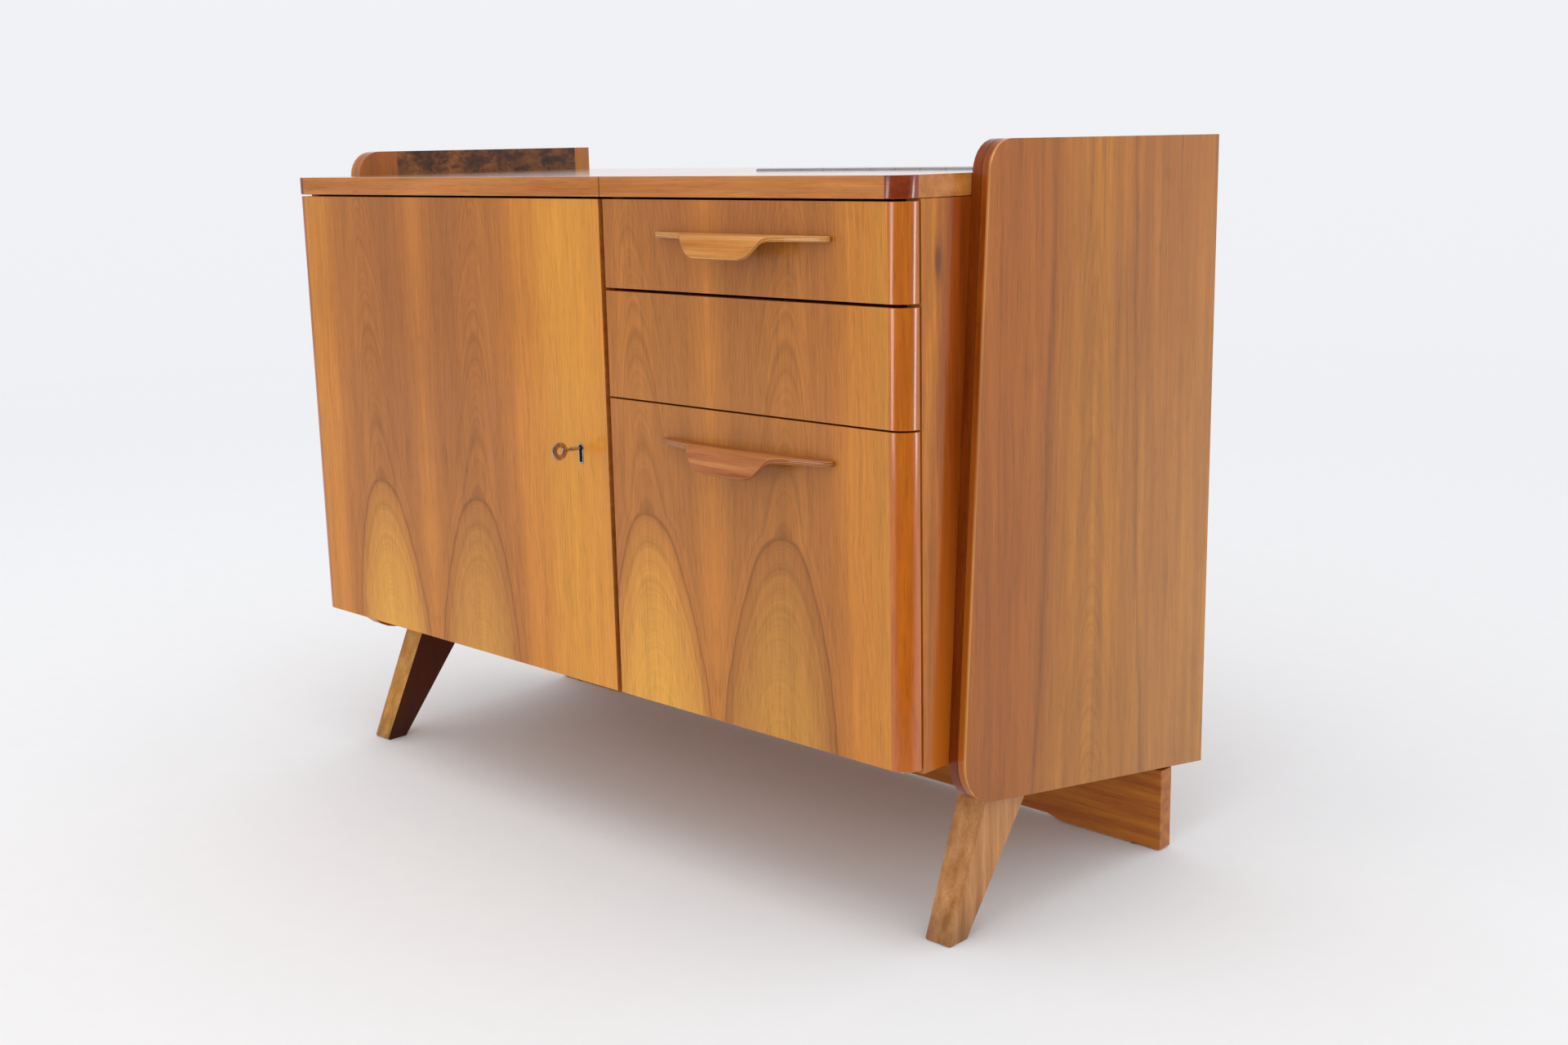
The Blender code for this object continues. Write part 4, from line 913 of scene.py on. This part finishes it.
class CABINET_OT_metal(bpy.types.Operator):
    """Finish the hinges, the lock, the stay, the catch and the rubber glides"""

    bl_idname = "cabinet.metal"
    bl_label = "Metal and rubber"

    def execute(self, context):
        colours = context.scene.cabinet_colours
        steel = metal("hinge_steel", screen(colours.hinge), (150, 148, 148), 0.30, (40, 400, 400))
        fixtures = metal("fixture_steel", screen(colours.fixture), (110, 100, 92), 0.36)
        dark = metal("dark_steel", screen(colours.catch), (50, 46, 44), 0.38)
        for hinge in ("lid_hinge", "door_hinge", "flap_hinge"):
            dress(steel, f"{hinge}_fixed_leaf", f"{hinge}_moving_leaf", f"{hinge}_pin")
        dress(steel, "keyhole_liner")
        dress(fixtures, "lock_case", "lock_bolt", "strike_plate", "stay_arm",
              "stay_bracket", "stay_stud", "catch_plate")
        dress(dark, "catch_body")
        dress(rubber("glide_rubber"), "glide_rear_left", "glide_rear_right")
        return {"FINISHED"}


def handle_width(share):
    """Half width of a handle as a share of its widest, smooth over the measured places."""
    last = len(HANDLE_RUN) - 1
    index = max(i for i in range(last) if HANDLE_RUN[i] <= share + 1e-9)
    low, high = HANDLE_RUN[index], HANDLE_RUN[index + 1]
    step = (share - low) / (high - low)

    def slope(i):
        before, after = max(i - 1, 0), min(i + 1, last)
        return (HANDLE_WIDE[after] - HANDLE_WIDE[before]) / (HANDLE_RUN[after]
                                                            - HANDLE_RUN[before])

    square, cube = step * step, step * step * step
    return ((2 * cube - 3 * square + 1) * HANDLE_WIDE[index]
            + (cube - 2 * square + step) * slope(index) * (high - low)
            + (3 * square - 2 * cube) * HANDLE_WIDE[index + 1]
            + (cube - square) * slope(index + 1) * (high - low))


def handle_place(run, sizes):
    """Place and upward direction of the strip's middle at a run from the front."""
    turn = min(max(run - sizes.flat, 0), sizes.bend_radius * sizes.bend) / sizes.bend_radius
    lip = max(run - sizes.flat - sizes.bend_radius * sizes.bend, 0)
    out = min(run, sizes.flat) + sizes.bend_radius * math.sin(turn) + lip * math.cos(turn)
    fall = sizes.bend_radius * (1 - math.cos(turn)) + lip * math.sin(turn)
    place = Vector((0, -sizes.gap - out, -sizes.thickness / 2 - fall))
    return place, Vector((0, -math.sin(turn), math.cos(turn)))


def section(half, thick, rounding):
    """Outline of a strip's section: offsets across and up, and how far round its side."""
    points = []
    steps = 6
    for sign_x, sign_z, start in ((1, 1, 90), (1, -1, 0), (-1, -1, -90), (-1, 1, -180)):
        for step in range(steps + 1):
            turn = math.radians(start - 90 * step / steps)
            across = sign_x * (half - rounding) + rounding * math.cos(turn)
            up = sign_z * (thick - rounding) + rounding * math.sin(turn)
            points.append((across, up, abs(math.cos(turn))))
    return points


def bent_handle(name, node, body, top, material, sizes):
    """A bent plywood pull whose wide flat part narrows into a lip."""
    total = sizes.flat + sizes.bend_radius * sizes.bend + sizes.lip
    shape = bmesh.new()
    layer = shape.verts.layers.float.new("layer")
    side = shape.verts.layers.float.new("side")
    end = sizes.rounding
    corner = sizes.corner
    runs = [(total - corner) * index / sizes.rows for index in range(sizes.rows)]
    runs += [total - corner + corner * math.sin(math.radians(turn)) for turn in range(0, 91, 5)]
    loops = []
    for run in runs:
        past = max(run - (total - end), 0)
        shrink = end - math.sqrt(max(end * end - past * past, 0))
        middle, up = handle_place(run, sizes)
        beyond = max(run - (total - corner), 0)
        narrowed = corner - math.sqrt(max(corner * corner - beyond * beyond, 0))
        half = sizes.half_width * handle_width(run / total) - max(shrink, narrowed)
        thick = sizes.thickness / 2 - shrink * 0.97
        rounding = max(min(sizes.rounding - shrink * 0.9, thick * 0.98), 0.00005)
        loop = []
        for across, rise, turned_side in section(half, thick, rounding):
            vert = shape.verts.new(middle + Vector((across, 0, 0)) + up * rise)
            vert[layer] = rise / sizes.thickness + 0.5
            vert[side] = max(turned_side, past / end)
            loop.append(vert)
        loops.append(loop)
    loft(shape, loops)
    bmesh.ops.translate(shape, verts=shape.verts, vec=Vector((COLUMN, FACE, top)))
    piece = object_from(name, shape, material, body)
    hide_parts(node)
    return piece


class CABINET_OT_handles(bpy.types.Operator):
    """Build the two bent plywood handles in place of their plain solids"""

    bl_idname = "cabinet.handles"
    bl_label = "Handles"

    def execute(self, context):
        sizes = context.scene.cabinet_handle
        finish = context.scene.cabinet_finish
        colours = context.scene.cabinet_colours
        light = bent_ply("handle_ply_drawer", screen(colours.drawer_handle_light),
                         screen(colours.drawer_handle_dark), (214, 156, 86), (146, 86, 38),
                         finish)
        red = bent_ply("handle_ply_flap", screen(colours.flap_handle_light),
                       screen(colours.flap_handle_dark), (188, 124, 74), (104, 52, 24), finish)
        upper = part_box("drawer_upper_front")[1].z - sizes.drop_drawer
        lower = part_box("flap")[1].z - sizes.drop_flap
        bent_handle("bent_handle_drawer", "handle_drawer", "drawer_upper", upper, light, sizes)
        bent_handle("bent_handle_flap", "handle_flap", "flap", lower, red, sizes)
        return {"FINISHED"}


def key_bow(shape, head, sizes):
    """The key's ring, whose section is a flat with rounded edges."""
    loops = []
    for radial in [Vector((0, a, b)) for a, b in circle(48)]:
        outer = Vector((0, sizes.bow_width / 2 * radial.y, sizes.bow_height / 2 * radial.z))
        inner = radial * sizes.eye / 2
        middle, reach = (outer + inner) / 2, (outer - inner) / 2
        loop = []
        for a, b in circle(16):
            wide = math.copysign(abs(a) ** 0.8, a)
            flat = math.copysign(abs(b) ** 0.7, b)
            loop.append(shape.verts.new(head + middle + reach * wide
                                        + Vector((flat * sizes.bow_thickness / 2, 0, 0))))
        loops.append(loop)
    loft(shape, loops, closed=True)


def key_shank(shape, head, end, sizes):
    """The key's shank with its grooved collar, from inside the ring to its tip."""
    neck = sizes.bow_width / 2 - sizes.root
    tip = end - head.y - neck
    door = FACE - head.y - neck
    collar = sizes.collar_behind + sizes.root
    groove = collar + sizes.collar_length * 0.5
    collar_end = collar + sizes.collar_length
    shank, wide = sizes.shank, sizes.collar
    turned(shape, ((0, shank * 1.3), (0.0022, shank * 1.25), (0.0030, shank * 1.1),
                   (collar - 0.0006, shank * 1.1), (collar - 0.0003, wide * 0.9), (collar, wide),
                   (groove - sizes.collar_length * 0.05, wide), (groove, wide * 0.88),
                   (groove + sizes.collar_length * 0.05, wide), (collar_end - 0.0003, wide),
                   (collar_end, shank * 1.15), (door - 0.0015, shank * 1.15), (door, shank),
                   (tip - 0.0006, shank * 0.98), (tip, shank * 0.7)),
           head + Vector((0, neck, 0)), Vector((0, 1, 0)))


class CABINET_OT_key(bpy.types.Operator):
    """Build the ring-headed key in place of its plain solid"""

    bl_idname = "cabinet.key"
    bl_label = "Key"

    def execute(self, context):
        sizes = context.scene.cabinet_key
        low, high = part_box("key")
        x = (low.x + high.x) / 2
        head = Vector((x, low.y + sizes.bow_width / 2, high.z - sizes.bow_height / 2))
        shape = bmesh.new()
        key_bow(shape, head, sizes)
        key_shank(shape, head, high.y, sizes)
        bit = bmesh.ops.create_cube(shape, size=1)["verts"]
        bmesh.ops.scale(shape, verts=bit, vec=Vector((sizes.bit_thickness, sizes.bit_width,
                                                      head.z - low.z)))
        bit_y = high.y - sizes.tip - sizes.bit_width / 2
        bmesh.ops.translate(shape, verts=bit, vec=Vector((x, bit_y, (head.z + low.z) / 2)))
        edges = [edge for edge in shape.edges if all(vert in bit for vert in edge.verts)]
        bmesh.ops.bevel(shape, geom=edges, offset=0.0003, segments=2, affect="EDGES")
        nickel = metal("worn_nickel", screen(context.scene.cabinet_colours.key),
                       (138, 112, 102), 0.26, (180, 180, 180), 0.6)
        piece = object_from("ring_key", shape, nickel, "key")
        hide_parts("key")
        return {"FINISHED"}


def screw_heads(name, spots, normal, body, material, sizes, scale=1.0):
    """Countersunk slotted heads, barely proud, at several spots of one surface."""
    shape = bmesh.new()
    normal = Vector(normal)
    side = normal.orthogonal().normalized()
    radius, slot = sizes.radius * scale, sizes.slot * scale
    rise = normal * sizes.proud
    reach = math.asin(slot / 2 / radius)
    turns = [reach + (math.pi - 2 * reach) * step / 14 for step in range(15)]
    for number, spot in enumerate(spots):
        spot = Vector(spot)
        along = Matrix.Rotation(0.9 * number + 0.4, 3, normal) @ side
        across = normal.cross(along)
        for sign in (1, -1):
            arc = [(math.cos(turn), sign * math.sin(turn)) for turn in turns]
            low = [spot + radius * (along * a + across * b) for a, b in arc]
            rim = [spot + radius * 0.97 * (along * a + across * b) + rise * 0.7 for a, b in arc]
            crown = [spot + radius * (along * a * 0.86 + across * (b * 0.86 + sign * 0.02)) + rise
                     for a, b in arc]
            loft(shape, [[shape.verts.new(place) for place in loop] for loop in (low, rim, crown)])
        shape.faces.new([
            shape.verts.new(spot + along * a * radius + across * b * slot * 0.7 + rise * 0.25)
            for a, b in ((-0.98, -1), (0.98, -1), (0.98, 1), (-0.98, 1))])
    return object_from(name, shape, material, body)


def spread(low, high, count, margin):
    """Evenly spaced places between two ends, the outer ones a margin from them."""
    return [low + margin + (high - low - 2 * margin) * i / (count - 1) for i in range(count)]


class CABINET_OT_screws(bpy.types.Operator):
    """Put screw heads on the hinges, the lock, the strike plate and the back"""

    bl_idname = "cabinet.screws"
    bl_label = "Screws"

    def execute(self, context):
        sizes = context.scene.cabinet_screw
        steel = metal("screw_steel", screen(context.scene.cabinet_colours.screw), (104, 96, 90),
                      0.34)
        low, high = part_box("door_hinge_moving_leaf")
        upright = [(high.x - sizes.inset, z) for z in spread(low.z, high.z, 8, 0.03)]
        low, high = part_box("flap_hinge_moving_leaf")
        level = [(x, high.z - sizes.inset) for x in spread(low.x, high.x, 6, 0.03)]
        for name, leaf, end, places, body in (
                ("screws_door_leaf", "door_hinge_moving_leaf", 1, upright, "door"),
                ("screws_frame_leaf", "door_hinge_fixed_leaf", 0, upright, "cabinet"),
                ("screws_flap_leaf", "flap_hinge_moving_leaf", 1, level, "flap"),
                ("screws_bottom_leaf", "flap_hinge_fixed_leaf", 0, level, "cabinet")):
            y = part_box(leaf)[end].y
            screw_heads(name, [(x, y, z) for x, z in places], (0, 2 * end - 1, 0), body, steel,
                        sizes)
        low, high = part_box("lock_case")
        corners = [(x, high.y, z) for x in spread(low.x, high.x, 2, 0.007)
                   for z in spread(low.z, high.z, 2, 0.007)]
        screw_heads("screws_lock", corners, (0, 1, 0), "door", steel, sizes)
        low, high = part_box("strike_plate")
        middle = (low.y + high.y) / 2
        screw_heads("screws_strike", [(low.x, middle, z) for z in spread(low.z, high.z, 2, 0.006)],
                    (-1, 0, 0), "cabinet", steel, sizes, 0.8)
        low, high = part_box("back_panel")
        rows = [(x, high.y, z) for z in spread(low.z, high.z, 2, 0.012)
                for x in spread(low.x, high.x, 7, 0.03)]
        rows += [(x, high.y, z) for x in spread(low.x, high.x, 2, 0.012)
                 for z in spread(low.z, high.z, 5, 0.10)]
        screw_heads("screws_back", rows, (0, 1, 0), "cabinet", steel, sizes, 1.2)
        return {"FINISHED"}


def floor_disc(radius):
    """Round floor whose rings lie closer together near the middle."""
    shape = bmesh.new()
    loops = [[shape.verts.new((radius * share * a, radius * share * b, 0)) for a, b in circle(96)]
             for share in (0.02, 0.1, 0.25, 0.45, 0.7, 1.0)]
    for near, far in zip(loops, loops[1:]):
        bridge(shape, far, near)
    shape.faces.new(loops[0])
    return mesh_object("floor", shape, floor_material(radius))


def ahead(x, y, direction):
    """How far a place lies toward a level direction."""
    return x * direction[0] + y * direction[1]


def floor_material(radius):
    """Pale matt floor that fades out at its rim and, in reflections, at the dark end."""
    material = bpy.data.materials.new("pale_floor")
    nodes = fresh_nodes(material)
    place, x, y, _ = nodes.place()
    grit = place.noise((30, 30, 30), detail=3.0)
    matt = nodes.made("ShaderNodeBsdfDiffuse",
                      {"Color": grit.blend(tone(230, 231, 232), tone(233, 234, 235))})
    away = nodes.maths("SQRT", x * x + y * y).between(radius * 0.35, radius * 0.95)
    ray = nodes.add("ShaderNodeLightPath")
    dark_end = ahead(x, y, DARK_END).between(0.9, 1.5, 0.5, 1.0)
    dark_end = dark_end * Value(nodes, ray.outputs["Is Glossy Ray"])
    mixed = nodes.listed("ShaderNodeMixShader", (
        away.largest(dark_end), matt, nodes.made("ShaderNodeBsdfTransparent", {})))
    nodes.feed(nodes.add("ShaderNodeOutputMaterial").inputs["Surface"], mixed)
    return material


def studio_world():
    """Pale backdrop, a soft sky for plain light, and a studio that is dark at one end in gloss."""
    world = bpy.data.worlds.new("studio")
    bpy.context.scene.world = world
    nodes = fresh_nodes(world)
    x, y, z = nodes.parts(nodes.add("ShaderNodeTexCoord").outputs["Generated"])
    sky = (x * -0.55 + y).between(-0.6, 0.9, 1.09, 1.03) * z.between(0.15, 0.75, 1.86, 0.78)
    sky = nodes.mix(1.0, tone(250, 250, 252), nodes.made(
        "ShaderNodeCombineColor", {"Red": sky, "Green": sky, "Blue": sky}), "MULTIPLY")
    backdrop = z.between(-0.1, 0.25).blend(tone(240, 241, 244), tone(243, 243, 246))
    to_dark = ahead(x, y, DARK_END)
    bright = ahead(x, y, BRIGHT_SIDE).between(-0.5, 0.1, 0.45, 0.80)
    bright = bright.largest(to_dark.between(-0.95, -0.70, 1.08, 0.0))
    gloss = backdrop.shade(bright).toward(tone(18, 16, 16), to_dark.between(0.45, 0.78))
    sky, gloss, backdrop = (nodes.made("ShaderNodeBackground", {"Color": colour})
                            for colour in (sky, gloss, backdrop))
    ray = nodes.add("ShaderNodeLightPath").outputs
    straight = Value(nodes, ray["Is Camera Ray"]).largest(ray["Is Transmission Ray"])
    soft = nodes.listed("ShaderNodeMixShader", (ray["Is Glossy Ray"], sky, gloss))
    mixed = nodes.listed("ShaderNodeMixShader", (straight, soft, backdrop))
    nodes.feed(nodes.add("ShaderNodeOutputWorld").inputs["Surface"], mixed)


def lamp(name, place, width, height, power, gloss_only=False):
    """Rectangular soft lamp aimed at the cabinet; some show in the lacquer alone."""
    light = bpy.data.lights.new(name, "AREA")
    light.shape = "RECTANGLE"
    light.size = width
    light.size_y = height
    light.energy = power
    holder = linked(name, light)
    holder.visible_diffuse = not gloss_only
    holder.location = place
    aim = Vector((0, 0, 0.5)) - Vector(place)
    holder.rotation_euler = aim.to_track_quat("-Z", "Y").to_euler()


class CABINET_OT_stage(bpy.types.Operator):
    """Set up the camera, the pale floor, the backdrop and the soft lamps"""

    bl_idname = "cabinet.stage"
    bl_label = "Studio stage"

    def execute(self, context):
        sizes = context.scene.cabinet_stage
        camera = bpy.data.cameras.new("camera")
        camera.lens = sizes.lens
        camera.sensor_width = 36
        camera.clip_end = 60
        holder = linked("camera", camera)
        turn = Matrix((CAMERA_RIGHT, CAMERA_UP, CAMERA_BACK)).transposed().to_4x4()
        holder.matrix_world = Matrix.Translation(CAMERA_PLACE) @ turn
        context.scene.camera = holder
        floor = floor_disc(sizes.floor_radius)
        studio_world()
        lamp("overhead", (0.35, -1.15, 3.0), 2.2, 1.6, sizes.overhead)
        lamp("left_box", (-0.50, -3.3, 0.43), 0.95, 0.82, sizes.left_box, True)
        lamp("right_box", (3.4, 0.75, 0.43), 0.5, 0.82, sizes.right_box, True)
        context.scene.view_settings.view_transform = "Standard"
        return {"FINISHED"}


class CABINET_PT_panel(bpy.types.Panel):
    """The cabinet's steps"""

    bl_idname = "CABINET_PT_panel"
    bl_label = "Cabinet"
    bl_space_type = "VIEW_3D"
    bl_region_type = "UI"
    bl_category = "Cabinet"

    def draw(self, context):
        for operator in OPERATORS:
            self.layout.operator(operator.bl_idname)
        for name in SETTINGS:
            group = getattr(context.scene, name)
            for key in group.__annotations__:
                self.layout.prop(group, key)


SETTINGS = {
    "cabinet_colours": ColourSettings,
    "cabinet_finish": FinishSettings,
    "cabinet_handle": HandleSettings,
    "cabinet_key": KeySettings,
    "cabinet_screw": ScrewSettings,
    "cabinet_stage": StageSettings,
}
OPERATORS = (CABINET_OT_veneers, CABINET_OT_plain_wood, CABINET_OT_metal, CABINET_OT_handles,
             CABINET_OT_key, CABINET_OT_screws, CABINET_OT_stage)


def register():
    """Register the settings, the steps and the panel."""
    for name, group in SETTINGS.items():
        bpy.utils.register_class(group)
        setattr(bpy.types.Scene, name, bpy.props.PointerProperty(type=group))
    for operator in OPERATORS:
        bpy.utils.register_class(operator)
    bpy.utils.register_class(CABINET_PT_panel)


def unregister():
    """Take everything away again."""
    bpy.utils.unregister_class(CABINET_PT_panel)
    for operator in reversed(OPERATORS):
        bpy.utils.unregister_class(operator)
    for name, group in SETTINGS.items():
        delattr(bpy.types.Scene, name)
        bpy.utils.unregister_class(group)


def main():
    """Dress the cabinet step by step."""
    register()
    grain_group()
    ring_group()
    bpy.ops.cabinet.veneers()
    bpy.ops.cabinet.plain_wood()
    bpy.ops.cabinet.metal()
    bpy.ops.cabinet.handles()
    bpy.ops.cabinet.key()
    bpy.ops.cabinet.screws()
    bpy.ops.cabinet.stage()


if __name__ == "__main__":
    main()
